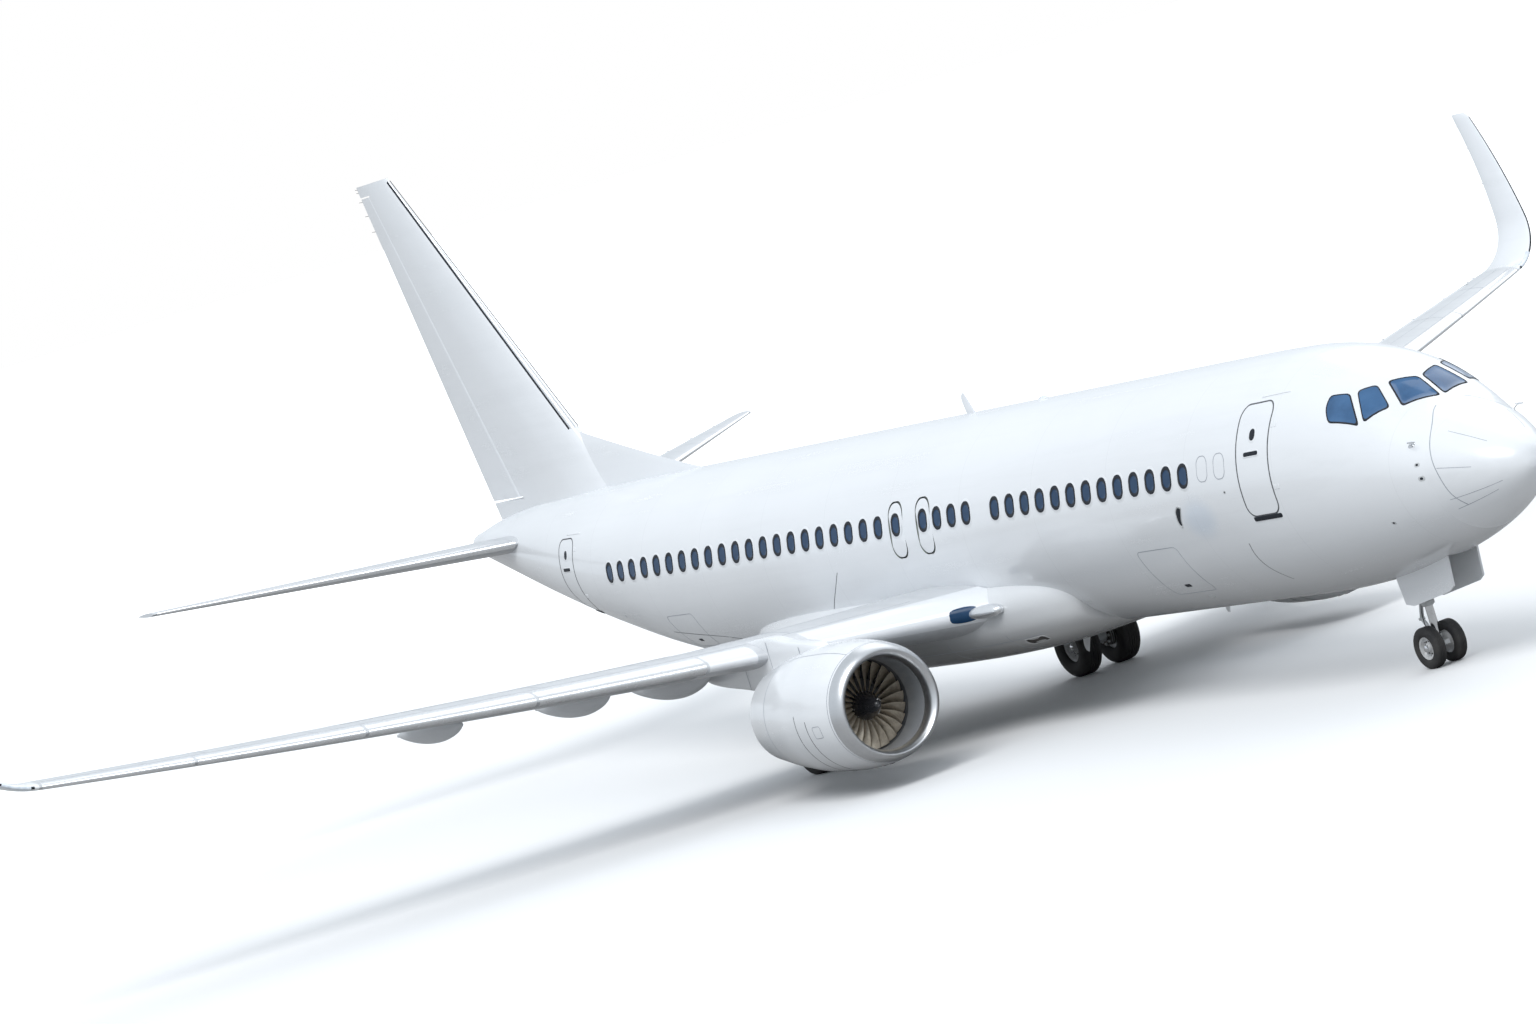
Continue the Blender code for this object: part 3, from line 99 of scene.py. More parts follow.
EXIT_MIDDLE = (EXIT_TOP + EXIT_BOTTOM) / 2


# Curves


def smooth_curve(points):
    """A function through the points with no overshoot: a cubic between each pair, whose slope at a
    point is the weighted harmonic mean of the rises on both sides, or 0 where they differ in sign."""
    xs, ys = np.array(points, float).T
    steps = np.diff(xs)
    rises = np.diff(ys) / steps
    slopes = np.concatenate([[rises[0]], np.zeros(len(xs) - 2), [rises[-1]]])
    weights = 2 * steps[1:] + steps[:-1], steps[1:] + 2 * steps[:-1]
    with np.errstate(divide="ignore", invalid="ignore"):
        means = sum(weights) / (weights[0] / rises[:-1] + weights[1] / rises[1:])
    slopes[1:-1] = np.where(rises[:-1] * rises[1:] > 0, means, 0)

    def value(x):
        x = np.asarray(x, float)
        i = np.clip(np.searchsorted(xs, x) - 1, 0, len(steps) - 1)
        t = (x - xs[i]) / steps[i]
        start = (1 + 2 * t) * (1 - t) ** 2 * ys[i] + t * (1 - t) ** 2 * steps[i] * slopes[i]
        return start + t * t * (3 - 2 * t) * ys[i + 1] + t * t * (t - 1) * steps[i] * slopes[i + 1]

    return value


crown_line, tail_keel = smooth_curve(CROWN), smooth_curve(TAIL_KEEL)
tail_width, tail_line = smooth_curve(TAIL_WIDTH), smooth_curve(TAIL_LINE)


def between(x, ends, values):
    """The value at x on the straight line through the two ends."""
    return values[0] + (np.asarray(x, float) - ends[0]) / (ends[1] - ends[0]) * (values[1] - values[0])


def place(x, station, z):
    """Points of the scene, stacked from side distances, stations and heights above the widest line."""
    x, station, z = np.broadcast_arrays(x, station, z)
    return np.stack([x, station - LENGTH / 2, z + WIDEST_LINE], axis=-1).astype(float)


def unit(vectors):
    """The vectors divided by their lengths."""
    return vectors / np.maximum(np.linalg.norm(vectors, axis=-1, keepdims=True), 1e-12)


def turn(count, offset=0.0):
    """count equally spaced angles of a full turn."""
    return 2 * math.pi * (np.arange(count) + offset) / count


def rounded_outline(half_width, half_height, radius, count=40):
    """A rectangle with round corners as (count, 2) offsets: quarter circles at the four corners,
    each turning by the step of angle, joined by straight sides."""
    a = turn(count, 0.5)
    c, s = np.cos(a), np.sin(a)
    centre = np.stack([np.sign(c) * (half_width - radius), np.sign(s) * (half_height - radius)], 1)
    return centre + radius * np.stack([c, s], 1)


# Meshes


def skin(points, wrap_rows=False, paint=0):
    """A shape from rows of points, each row a closed ring: quads between neighbours and, unless the
    rows close up too, a many-sided face on each end. paint is a slot number for all faces, or one
    for each row of faces."""
    rows, columns = points.shape[:2]
    index = np.arange(rows * columns).reshape(rows, columns)
    if wrap_rows:
        index = np.concatenate([index, index[:1]], 0)
    index = np.concatenate([index, index[:, :1]], 1)
    quads = np.stack([index[:-1, :-1], index[:-1, 1:], index[1:, 1:], index[1:, :-1]], -1)
    faces = [tuple(q) for q in quads.reshape(-1, 4).tolist()]
    paints = np.repeat(np.broadcast_to(paint, len(index) - 1), columns).tolist()
    if not wrap_rows:
        faces += [tuple(range(columns))[::-1], tuple(range((rows - 1) * columns, rows * columns))]
        paints += [paints[0], paints[-1]]
    return points.reshape(-1, 3), faces, paints


def together(*shapes):
    """Several shapes as one."""
    points, faces, paints, count = [], [], [], 0
    for shape_points, shape_faces, shape_paints in shapes:
        points.append(shape_points)
        faces += [tuple(i + count for i in face) for face in shape_faces]
        paints += shape_paints
        count += len(shape_points)
    return np.concatenate(points), faces, paints


def painted(shape, number):
    """The shape with one slot number for all its faces."""
    points, faces, paints = shape
    return points, faces, [number] * len(paints)


FINISHES = {}  # every material of the aircraft by its short name


def mesh_object(name, shape, finishes=()):
    """An object from a shape, with every face turned outwards."""
    points, faces, paints = shape
    mesh = bpy.data.meshes.new(name)
    mesh.from_pydata(points.tolist(), [], faces)
    for one in finishes:
        mesh.materials.append(FINISHES[one])
    mesh.polygons.foreach_set("material_index", np.array(paints, np.int32))
    made = bpy.data.objects.new(name, mesh)
    bpy.context.scene.collection.objects.link(made)
    outwards(mesh)
    return made


def paint_shade_below(mesh, index, beyond=0.0):
    """Gives the faces that look down, past a side distance, the finish of that index: a darker copy of the
    paint, painted shade for the undersides.
    """
    for face in mesh.polygons:
        if face.normal.z < -0.3 and abs(face.center.x) > beyond:
            face.material_index = index


def outwards(mesh):
    """Turns the faces of each closed part outwards."""
    bm = bmesh.new()
    bm.from_mesh(mesh)
    bmesh.ops.remove_doubles(bm, verts=bm.verts, dist=1e-6)
    bmesh.ops.recalc_face_normals(bm, faces=bm.faces)
    bm.to_mesh(mesh)
    bm.free()


def fixed_modifiers(obj):
    """Turns what the modifiers make into the object's own mesh."""
    bpy.context.view_layer.update()
    shown = obj.evaluated_get(bpy.context.evaluated_depsgraph_get())
    mesh = bpy.data.meshes.new_from_object(shown)
    obj.modifiers.clear()
    old = obj.data
    obj.data = mesh
    bpy.data.meshes.remove(old)


def carve(obj, operation, *shapes):
    """Cuts the shapes out of the object, joins them to it or keeps what they share."""
    helpers = []
    for i, shape in enumerate(shapes):
        helper = mesh_object(f"carver_{obj.name}_{i}", shape, ["well", "well"])
        helpers.append(helper)
        modifier = obj.modifiers.new("carve", "BOOLEAN")
        modifier.operation = operation
        modifier.solver = "EXACT"
        modifier.object = helper
    fixed_modifiers(obj)
    for helper in helpers:
        mesh = helper.data
        bpy.data.objects.remove(helper)
        bpy.data.meshes.remove(mesh)


def dress(obj, body, slot, replaces=(), sharp=35.0):
    """Gives a piece smooth shading with sharp edges and its body, and hides the frame's nodes that
    it stands for. The slot is not used."""
    obj.data.shade_smooth()
    obj.data.set_sharp_from_angle(angle=math.radians(sharp))
    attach(obj, body)
    if replaces:
        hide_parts(*replaces)


def piece(name, shape, finishes, slot=None, body="airframe", **more):
    """A dressed piece from a shape, or from a list of shapes that become one."""
    shape = together(*shape) if isinstance(shape, list) else shape
    dress(mesh_object(name, shape, finishes), body, slot, **more)


def prism_up(outline, z):
    """A block of plan outline, as (x, station) points, between two heights."""
    x, station = np.array(outline, float).T
    return skin(np.stack([place(x, station, level) for level in z]))


def prism_across(outline, x):
    """A block of side view outline, as (station, z) points, between two side distances."""
    station, z = np.array(outline, float).T
    return skin(np.stack([place(side, station, z) for side in x]))


def block(x, stations, z):
    """A box between two side distances, stations and heights."""
    (x0, x1), (s0, s1) = x, stations
    return prism_up([(x0, s0), (x1, s0), (x1, s1), (x0, s1)], z)


def circles(profile, centre, axis, sides):
    """Rings of points about a line through centre along x, y or z, one for each profile point
    (distance along, radius)."""
    along, radius = np.array(profile, float).T[..., None]
    a = turn(sides, 0.5)
    u, v = radius * np.cos(a), radius * np.sin(a)
    w = np.broadcast_to(along, u.shape)
    order = {"x": (w, u, v), "y": (u, w, v), "z": (u, v, w)}[axis]
    return np.stack(order, -1) + np.asarray(centre, float)


def turned(profile, centre, axis, sides, paint=0):
    """A solid of revolution whose profile runs from end to end."""
    return skin(circles(profile, centre, axis, sides), paint=paint)


def hoop(profile, centre, axis, sides, paint=0):
    """A ring-shaped piece: a closed profile carried once round the axis."""
    return skin(circles(profile, centre, axis, sides).swapaxes(0, 1), wrap_rows=True, paint=paint)


def sleeve(ends, radii, centre, axis, sides, paint=0):
    """A round sleeve or disc with a hole, between two distances along the axis and two radii."""
    (low, high), (inner, outer) = ends, radii
    return hoop([(low, inner), (low, outer), (high, outer), (high, inner)], centre, axis, sides, paint)


def frames(path, closed):
    """Directions along a path and two at right angles to it."""
    ahead = np.roll(path, -1, 0) - np.roll(path, 1, 0)
    if not closed:
        ahead[0], ahead[-1] = path[1] - path[0], path[-1] - path[-2]
    ahead = unit(ahead)
    steady = np.array((0.13, 0.21, 0.97)) if abs(ahead[0][2]) < 0.9 else np.array((0.97, 0.13, 0.21))
    across = unit(np.cross(ahead, steady))
    return ahead, across, unit(np.cross(across, ahead))


def tube(path, radius, sides, paint=0):
    """A round bar along a path: circles of the radius, at right angles to the path."""
    path = np.asarray(path, float)
    _, across, up = frames(path, closed=False)
    radius = np.broadcast_to(radius, len(path))[:, None, None]
    a = turn(sides, 0.5)[None, :, None]
    ring = path[:, None] + radius * (np.cos(a) * across[:, None] + np.sin(a) * up[:, None])
    return skin(ring, paint=paint)


def curved_path(points, count=16):
    """A smooth path through a few points: a cubic between each pair, whose slope at a point
    is half of the step from the one before it to the one after it."""
    points = np.asarray(points, float)
    slopes = np.gradient(points, axis=0)
    t = np.linspace(0, 1, count, endpoint=False)[None, :, None]
    a, b, m, n = points[:-1, None], points[1:, None], slopes[:-1, None], slopes[1:, None]
    runs = (1 + 2 * t) * (1 - t) ** 2 * a + t * (1 - t) ** 2 * m
    runs = runs + t * t * (3 - 2 * t) * b + t * t * (t - 1) * n
    return np.concatenate([runs.reshape(-1, points.shape[1]), points[-1:]])


STRIP_DEPTH = 0.004


def strip(path, normals, width, lift=0.0015, closed=False, paint=0):
    """A thin strip along a path on a surface: width across, standing lift above the surface and
    reaching STRIP_DEPTH below it."""
    path, normals = np.asarray(path, float), unit(np.asarray(normals, float))
    ahead, _, _ = frames(path, closed)
    across = unit(np.cross(ahead, normals)) * width / 2
    top, bottom = path + normals * lift, path - normals * STRIP_DEPTH
    ring = np.stack([bottom - across, top - across, top + across, bottom + across], 1)
    return skin(ring, wrap_rows=closed, paint=paint)


def line_on(surface, u, v, width, lift=0.0015, closed=False, paint=0):
    """A thin strip along places (u, v) on a surface."""
    path, normals = surface(u, v)
    return strip(path, normals, width, lift, closed, paint)


def lens(surface, outline, profile, middle=None):
    """A closed piece that follows a surface. Its outline, as (n, 2) places on the surface, is shrunk
    towards its middle by each share of the profile (share, lift, paint) and lifted along the
    surface's normal; the first and last shares are 0, at the middle of the front and of the back."""
    outline = np.asarray(outline, float)
    middle = outline.mean(0) if middle is None else np.asarray(middle, float)
    shares, lifts, paints = np.array(profile, float).T
    spots = middle + np.maximum(shares, 0.02)[:, None, None] * (outline - middle)
    points, normals = surface(spots[..., 0], spots[..., 1])
    return skin(points + normals * lifts[:, None, None], paint=paints[1:].astype(int))


# The hull as a surface


def hull_section(station):
    """Half width, height of the widest line, crown and keel of the hull at stations.
    The nose opens out as (1 - left ** 2) ** 0.58, where left is the share of its length still ahead."""
    station = np.asarray(station, float)
    left = np.maximum(0.0, 1 - station / NOSE_LENGTH)
    grown = (1 - left**2) ** 0.58
    keel = NOSE_TIP + (KEEL - NOSE_TIP) * grown
    line = NOSE_TIP * left**2
    line = np.where(station > TAIL_LINE[0][0], tail_line(station), line)
    keel = np.where(station > TAIL_KEEL[0][0], tail_keel(station), keel)
    half_width = np.where(station > TAIL_WIDTH[0][0], tail_width(station), HULL_RADIUS * grown)
    return half_width, line, crown_line(station), keel


def hull_place(station, angle):
    """Points of the hull: x = half width * cos, z = line + reach * sin, with the crown's reach above
    the widest line and the keel's below it. Angle 0 is port and a quarter turn is up."""
    half_width, line, crown, keel = hull_section(station)
    up = np.sin(angle)
    return place(half_width * np.cos(angle), station, line + np.where(up > 0, crown - line, line - keel) * up)


def with_normals(shape, middle=None, facing=None):
    """A function that gives a surface's points with its unit normals, from small steps on it,
    turned towards the direction facing or away from the middle line that a function gives."""

    def surface(u, v):
        u, v = np.broadcast_arrays(np.asarray(u, float), np.asarray(v, float))
        points = shape(u, v)
        e = 1e-3
        normals = unit(np.cross(shape(u + e, v) - shape(u - e, v), shape(u, v + e) - shape(u, v - e)))
        outward = np.array(facing, float) if middle is None else points - middle(u)
        away = (outward * normals).sum(-1, keepdims=True)
        return points, normals * np.where(away < 0, -1, 1)

    return surface


def hull_middle(station):
    """The points halfway between crown and keel."""
    _, _, crown, keel = hull_section(station)
    return place(0.0, station, (crown + keel) / 2)


hull_surface = with_normals(hull_place, hull_middle)


def hull_angle(station, z, side):
    """The angle at which the hull has a given height on one side."""
    _, line, crown, keel = hull_section(station)
    reach = np.where(z > line, crown - line, line - keel)
    a = np.arcsin(np.clip((z - line) / reach, -1, 1))
    return a if side > 0 else math.pi - a


def flank(side):
    """The hull's side as a surface over (station, z)."""
    return with_normals(lambda s, z: hull_place(s, hull_angle(s, z, side)), hull_middle)


# Finishes


def new_group(name, inputs, outputs):
    """An empty shader node group with the named sockets, and its input and output nodes."""
    tree = bpy.data.node_groups.new(name, "ShaderNodeTree")
    for socket, kind, default in inputs:
        made = tree.interface.new_socket(socket, in_out="INPUT", socket_type=f"NodeSocket{kind}")
        if default is not None:
            made.default_value = default
    for socket, kind in outputs:
        tree.interface.new_socket(socket, in_out="OUTPUT", socket_type=f"NodeSocket{kind}")
    return tree, tree.nodes.new("NodeGroupInput"), tree.nodes.new("NodeGroupOutput")


def feed(tree, socket, value):
    """Gives a socket a value or another node's output."""
    if isinstance(value, bpy.types.NodeSocket):
        tree.links.new(value, socket)
    else:
        socket.default_value = value


def node(tree, kind, settings=(), **inputs):
    """A node with its settings and inputs, where i0, i1 and so on are inputs by number."""
    made = tree.nodes.new(f"ShaderNode{kind}")
    for name, value in dict(settings).items():
        setattr(made, name, value)
    for name, value in inputs.items():
        by_number = name[0] == "i" and name[1:].isdigit()
        feed(tree, made.inputs[int(name[1:]) if by_number else name], value)
    return made


def maths(tree, operation, first, second, clamp=False):
    """The output of a math node."""
    return node(tree, "Math", {"operation": operation, "use_clamp": clamp}, i0=first, i1=second).outputs[0]


def mixed(tree, share, first, second):
    """The output of a node that mixes two colours."""
    return node(tree, "Mix", {"data_type": "RGBA"}, Factor=share, i6=first, i7=second).outputs[2]


def noise(tree, vector, scale, detail=3.0, rough=0.55):
    """The output of a noise texture."""
    return node(tree, "TexNoise", Vector=vector, Scale=scale, Detail=detail, Roughness=rough).outputs["Fac"]


def soiling_group():
    """Masks of a used skin: soft clouds, streaks drawn out along the airflow, and fine grain."""
    tree, given, out = new_group(
        "Soiling",
        [("Vector", "Vector", None), ("Cloud Scale", "Float", 0.5), ("Streak Scale", "Float", 3.0),
         ("Grain Scale", "Float", 60.0)],
        [("Cloud", "Float"), ("Streaks", "Float"), ("Grain", "Float")],
    )
    cloud = noise(tree, given.outputs["Vector"], given.outputs["Cloud Scale"], 4.0)
    drawn = node(tree, "Mapping", Vector=given.outputs["Vector"], Scale=(1.0, 0.05, 1.0))
    streaks = noise(tree, drawn.outputs[0], given.outputs["Streak Scale"], 5.0, 0.62)
    grain = noise(tree, given.outputs["Vector"], given.outputs["Grain Scale"], 2.0)
    for name, value, low, high in (("Cloud", cloud, 0.35, 0.7), ("Streaks", streaks, 0.48, 0.75)):
        widened = node(tree, "MapRange", {"clamp": True}, Value=value, i1=low, i2=high)
        tree.links.new(widened.outputs[0], out.inputs[name])
    tree.links.new(grain, out.inputs["Grain"])
    return tree


def seams_group():
    """A mask of fine joints at equal steps along the aircraft."""
    tree, given, out = new_group(
        "Skin joints",
        [("Vector", "Vector", None), ("Spacing", "Float", 2.0), ("Width", "Float", 0.01)],
        [("Line", "Float")],
    )
    parts = node(tree, "SeparateXYZ", Vector=given.outputs["Vector"])
    half_step = maths(tree, "MULTIPLY", given.outputs["Spacing"], 0.5)
    wrapped = maths(tree, "PINGPONG", parts.outputs["Y"], half_step)
    line = node(tree, "MapRange", {"clamp": True}, Value=wrapped, i1=0.0, i2=given.outputs["Width"], i3=1.0,
                i4=0.0)
    tree.links.new(line.outputs[0], out.inputs["Line"])
    return tree


def underside_shade_group():
    """A mask of painted shade that grows from 0 at one height above the ground to 1 at a lower one."""
    tree, given, out = new_group(
        "Underside grime",
        [("Vector", "Vector", None), ("Clean Height", "Float", 2.6), ("Soiled Height", "Float", 1.5)],
        [("Mask", "Float")],
    )
    parts = node(tree, "SeparateXYZ", Vector=given.outputs["Vector"])
    ramp = node(tree, "MapRange", {"clamp": True, "interpolation_type": "SMOOTHSTEP"},
                Value=parts.outputs["Z"], i1=given.outputs["Clean Height"], i2=given.outputs["Soiled Height"])
    tree.links.new(ramp.outputs[0], out.inputs["Mask"])
    return tree


GROUPS = {}  # the shared node groups that have been made, by name
GROUP_MAKERS = {"Soiling": soiling_group, "Skin joints": seams_group, "Underside grime": underside_shade_group}


def group(tree, name, **inputs):
    """A node that places a shared group in a material; spaces in socket names are given as _."""
    if name not in GROUPS:
        GROUPS[name] = GROUP_MAKERS[name]()
    made = tree.nodes.new("ShaderNodeGroup")
    made.node_tree = GROUPS[name]
    for key, value in inputs.items():
        feed(tree, made.inputs[key.replace("_", " ")], value)
    return made


def finish(
    name, clean, soiled, roughness, metallic=0.0, coat=0.0, cloud=0.5, streaks=0.5, scales=(0.4, 3.0, 60.0),
    bump=0.0, joints=0.0, painted_shade=None, painted_shade_colour=None, shadow_patch=None, shine=0.5,
):
    """A material whose colour runs from clean to soiled by clouds and streaks, whose roughness runs
    over its range by clouds and grain, and whose surface is broken by grain and joints. Two heights,
    where given, darken it towards the ground to a given colour: a painted shade of the underside.
    A patch, where given, is a soft painted shadow: its middle, its reach along each axis and its colour."""
    made = bpy.data.materials.new(name)
    made.use_nodes = True
    tree = made.node_tree
    shader = tree.nodes["Principled BSDF"]
    vector = tree.nodes.new("ShaderNodeTexCoord").outputs["Object"]
    cloud_scale, streak_scale, grain_scale = scales
    soil = group(tree, "Soiling", Vector=vector, Cloud_Scale=cloud_scale, Streak_Scale=streak_scale,
                 Grain_Scale=grain_scale).outputs
    amount = maths(tree, "ADD", maths(tree, "MULTIPLY", soil["Cloud"], cloud),
                   maths(tree, "MULTIPLY", soil["Streaks"], streaks), clamp=True)
    colour = mixed(tree, amount, (*clean, 1), (*soiled, 1))
    # Painted shade: the colour darkens towards the ground, standing for the shade on the underside
    if painted_shade:
        mask = group(tree, "Underside grime", Vector=vector, Clean_Height=painted_shade[0], Soiled_Height=painted_shade[1])
        colour = mixed(tree, mask.outputs["Mask"], colour, (*painted_shade_colour, 1))
    # Painted shadow: the colour is mixed towards a given colour in a soft spot
    if shadow_patch:
        middle, reach, shadow_colour = shadow_patch
        offset = node(tree, "VectorMath", {"operation": "SUBTRACT"}, i0=vector, i1=middle).outputs[0]
        offset = node(tree, "VectorMath", {"operation": "DIVIDE"}, i0=offset, i1=reach).outputs[0]
        away = node(tree, "VectorMath", {"operation": "LENGTH"}, i0=offset).outputs["Value"]
        soft = node(tree, "MapRange", {"interpolation_type": "SMOOTHSTEP"}, Value=away, i1=1.0, i2=0.3,
                    i3=0.0, i4=0.8)
        colour = mixed(tree, soft.outputs[0], colour, (*shadow_colour, 1))
    height = maths(tree, "MULTIPLY", soil["Grain"], bump)
    if joints:
        lines = group(tree, "Skin joints", Vector=vector, Spacing=joints, Width=0.012).outputs["Line"]
        height = maths(tree, "SUBTRACT", height, maths(tree, "MULTIPLY", lines, 0.0012))
        colour = mixed(tree, maths(tree, "MULTIPLY", lines, 0.09), colour, (*shade(soiled, 0.45), 1))
    wear = maths(tree, "ADD", maths(tree, "MULTIPLY", amount, 0.6),
                 maths(tree, "MULTIPLY", soil["Grain"], 0.4))
    rough = node(tree, "MapRange", {"clamp": True}, Value=wear, i3=roughness[0], i4=roughness[1])
    raised = node(tree, "Bump", Height=height, Distance=1.0, Strength=1.0)
    for socket, value in {
        "Base Color": colour, "Roughness": rough.outputs[0], "Normal": raised.outputs[0],
        "Metallic": metallic, "Coat Weight": coat, "Coat Roughness": 0.08, "Specular IOR Level": shine,
    }.items():
        feed(tree, shader.inputs[socket], value)
    return made


def shade(colour, share):
    """The colour with its channels multiplied by a share."""
    return tuple(c * share for c in colour)


def make_finishes(looks):
    """Every finish of the aircraft, from the colours that the panel holds."""
    white, wing, metal = tuple(looks.paint), tuple(looks.wing_paint), tuple(looks.bare_metal)
    dull = shade(white, 0.86)
    paint = dict(roughness=(0.2, 0.38), coat=0.55, cloud=0.22, streaks=0.3, bump=0.00012)
    # A soft blue painted shadow on the starboard flank between the door and the first window
    shadow_patch = (-1.85, 6.92 - LENGTH / 2, 3.24), (2.5, 0.66, 0.46), tuple(np.multiply(white, (0.82, 0.87, 0.93)))
    FINISHES.update({
        # The hull and the fairing darken towards the ground: painted shade of the underside
        "hull": finish("hull_white", white, dull, joints=2.54, painted_shade=(2.75, 1.35),
                       painted_shade_colour=shade(white, 0.7), shadow_patch=shadow_patch, **paint),
        "white": finish("panel_white", white, dull, **paint),
        "fairing": finish("fairing_white", white, dull, painted_shade=(3.0, 1.5), painted_shade_colour=(0.5, 0.505, 0.51),
                          **paint),
        "radome": finish("radome_white", shade(white, 0.985), dull, (0.25, 0.42), coat=0.4,
                         cloud=0.3, streaks=0.35, bump=0.0002),
        "wing": finish("wing_enamel", wing, shade(wing, 0.8), (0.3, 0.5), coat=0.25, cloud=0.35,
                       streaks=0.5, scales=(0.6, 4.0, 70.0), bump=0.0002),
        # A darker copy of the wing paint for the faces that look down: painted shade
        "under": finish("wing_below_painted_shade", shade(wing, 0.7), shade(wing, 0.58), (0.35, 0.55),
                        coat=0.2, cloud=0.4, streaks=0.45, bump=0.0002),
        "panel": finish("control_grey", shade(wing, 1.08), wing, (0.3, 0.5), coat=0.2, cloud=0.4,
                        streaks=0.45, scales=(0.9, 5.0, 80.0), bump=0.0002),
        "metal": finish("edge_metal", metal, shade(metal, 0.78), (0.2, 0.36), metallic=0.78, coat=0.3,
                        cloud=0.4, streaks=0.4, scales=(1.5, 9.0, 130.0), bump=0.0001),
        "polished": finish("polished_lip", shade(metal, 0.84), shade(metal, 0.72), (0.3, 0.42),
                           metallic=1.0, cloud=0.5, streaks=0.4, scales=(2.0, 10.0, 140.0), bump=0.00008),
        # The inlet's grey liner, made darker as painted shade inside the inlet; the guide vanes and the core
        # cowl share it
        "barrel": finish("inlet_barrel", (0.23, 0.243, 0.26), (0.22, 0.23, 0.245), (0.35, 0.5), cloud=0.5,
                         streaks=0.5, scales=(3.0, 12.0, 400.0), bump=0.0006),
        "titanium": finish("nozzle_metal", (0.42, 0.38, 0.34), (0.24, 0.2, 0.17), (0.28, 0.48), metallic=1.0,
                           cloud=0.7, streaks=0.6, scales=(2.5, 12.0, 120.0), bump=0.0002),
        "blade": finish("fan_blade", (0.8, 0.7, 0.56), (0.42, 0.35, 0.27), (0.25, 0.42), metallic=0.7,
                        cloud=0.6, streaks=0.4, scales=(6.0, 20.0, 200.0), bump=0.0001),
        "spinner": finish("spinner_black", (0.018, 0.018, 0.02), (0.04, 0.04, 0.045), (0.12, 0.3), coat=0.8,
                          cloud=0.5, streaks=0.3, scales=(8.0, 20.0, 200.0), bump=0.0001),
        "mark": finish("spinner_white", (0.7, 0.7, 0.69), (0.5, 0.5, 0.5), (0.3, 0.5), cloud=0.5,
                       scales=(8.0, 20.0, 200.0), bump=0.0001),
        # Dark joints, and painted shade on the duct wall behind the fan
        "dark": finish("seam_dark_and_duct_shade", (0.06, 0.065, 0.075), (0.14, 0.145, 0.155), (0.5, 0.75), cloud=0.6,
                       scales=(3.0, 8.0, 90.0), bump=0.0002),
        "faint": finish("seam_faint", (0.32, 0.345, 0.38), (0.46, 0.48, 0.52), (0.4, 0.6), cloud=0.6,
                        scales=(2.0, 8.0, 90.0), bump=0.0002),
        "rim": finish("window_seal", (0.012, 0.015, 0.022), (0.035, 0.04, 0.05), (0.4, 0.6), shine=0.2,
                      cloud=0.6, scales=(6.0, 12.0, 150.0), bump=0.0002),
        "frame": finish("window_frame", shade(white, 0.97), dull, (0.25, 0.4), coat=0.3, cloud=0.4,
                        scales=(3.0, 8.0, 90.0), bump=0.0001),
        "glass": finish("cabin_glass", looks.cabin_glass, (0.02, 0.06, 0.13), (0.14, 0.28),
                        shine=0.2, coat=0.06, cloud=0.8, streaks=0.2, scales=(2.2, 3.0, 40.0), bump=0.00003),
        "windscreen": finish("windscreen", looks.windscreen, (0.05, 0.15, 0.32), (0.08, 0.16),
                             coat=0.3, cloud=0.9, streaks=0.1, scales=(1.6, 3.0, 40.0), bump=0.00002),
        "gear": finish("leg_enamel", (0.62, 0.64, 0.65), (0.42, 0.43, 0.43), (0.3, 0.5), coat=0.3, cloud=0.6,
                       streaks=0.3, scales=(5.0, 14.0, 120.0), bump=0.0003),
        "chrome": finish("oleo_chrome", (0.82, 0.83, 0.85), (0.6, 0.61, 0.62), (0.08, 0.2), metallic=1.0,
                         cloud=0.5, scales=(9.0, 20.0, 200.0), bump=0.0001),
        "wheel": finish("wheel_enamel", (0.66, 0.67, 0.68), (0.36, 0.35, 0.34), (0.3, 0.55), coat=0.2,
                        cloud=0.7, streaks=0.2, scales=(8.0, 18.0, 160.0), bump=0.0003),
        "tyre": finish("tyre_rubber", (0.022, 0.022, 0.024), (0.065, 0.062, 0.058), (0.65, 0.92), cloud=0.7,
                       streaks=0.2, scales=(4.0, 14.0, 260.0), bump=0.0008),
        "hose": finish("hydraulic_hose", (0.035, 0.036, 0.038), (0.09, 0.09, 0.09), (0.45, 0.7), cloud=0.6,
                       scales=(9.0, 20.0, 300.0), bump=0.0003),
        "brake": finish("brake_steel", (0.16, 0.155, 0.15), (0.3, 0.26, 0.22), (0.4, 0.65), metallic=0.8,
                        cloud=0.7, scales=(10.0, 20.0, 240.0), bump=0.0004),
        "well": finish("wheel_well", (0.3, 0.34, 0.3), (0.2, 0.21, 0.19), (0.45, 0.65), cloud=0.6,
                       streaks=0.3, scales=(2.0, 6.0, 80.0), bump=0.0004),
        "lamp": finish("lamp_glass", (0.75, 0.8, 0.86), (0.5, 0.56, 0.64), (0.04, 0.12), coat=1.0, cloud=0.6,
                       scales=(12.0, 20.0, 90.0), bump=0.00003),
        # Near-black: soot on the exhausts, and painted shade in the wheels' vent holes, the fairing's inlets
        # and the tail pipe's mouth
        "soot_and_hole_shade": finish("exhaust_soot_and_hole_shade", (0.035, 0.033, 0.032), (0.09, 0.08, 0.07), (0.6, 0.85), cloud=0.7,
                       scales=(5.0, 12.0, 120.0), bump=0.0006),
    })


# Hull


WELL_X, WELL_RADIUS = 0.8, 0.62
NOSE_BAY = (-0.31, 0.31), (2.55, 4.4), (-2.75, -1.25)


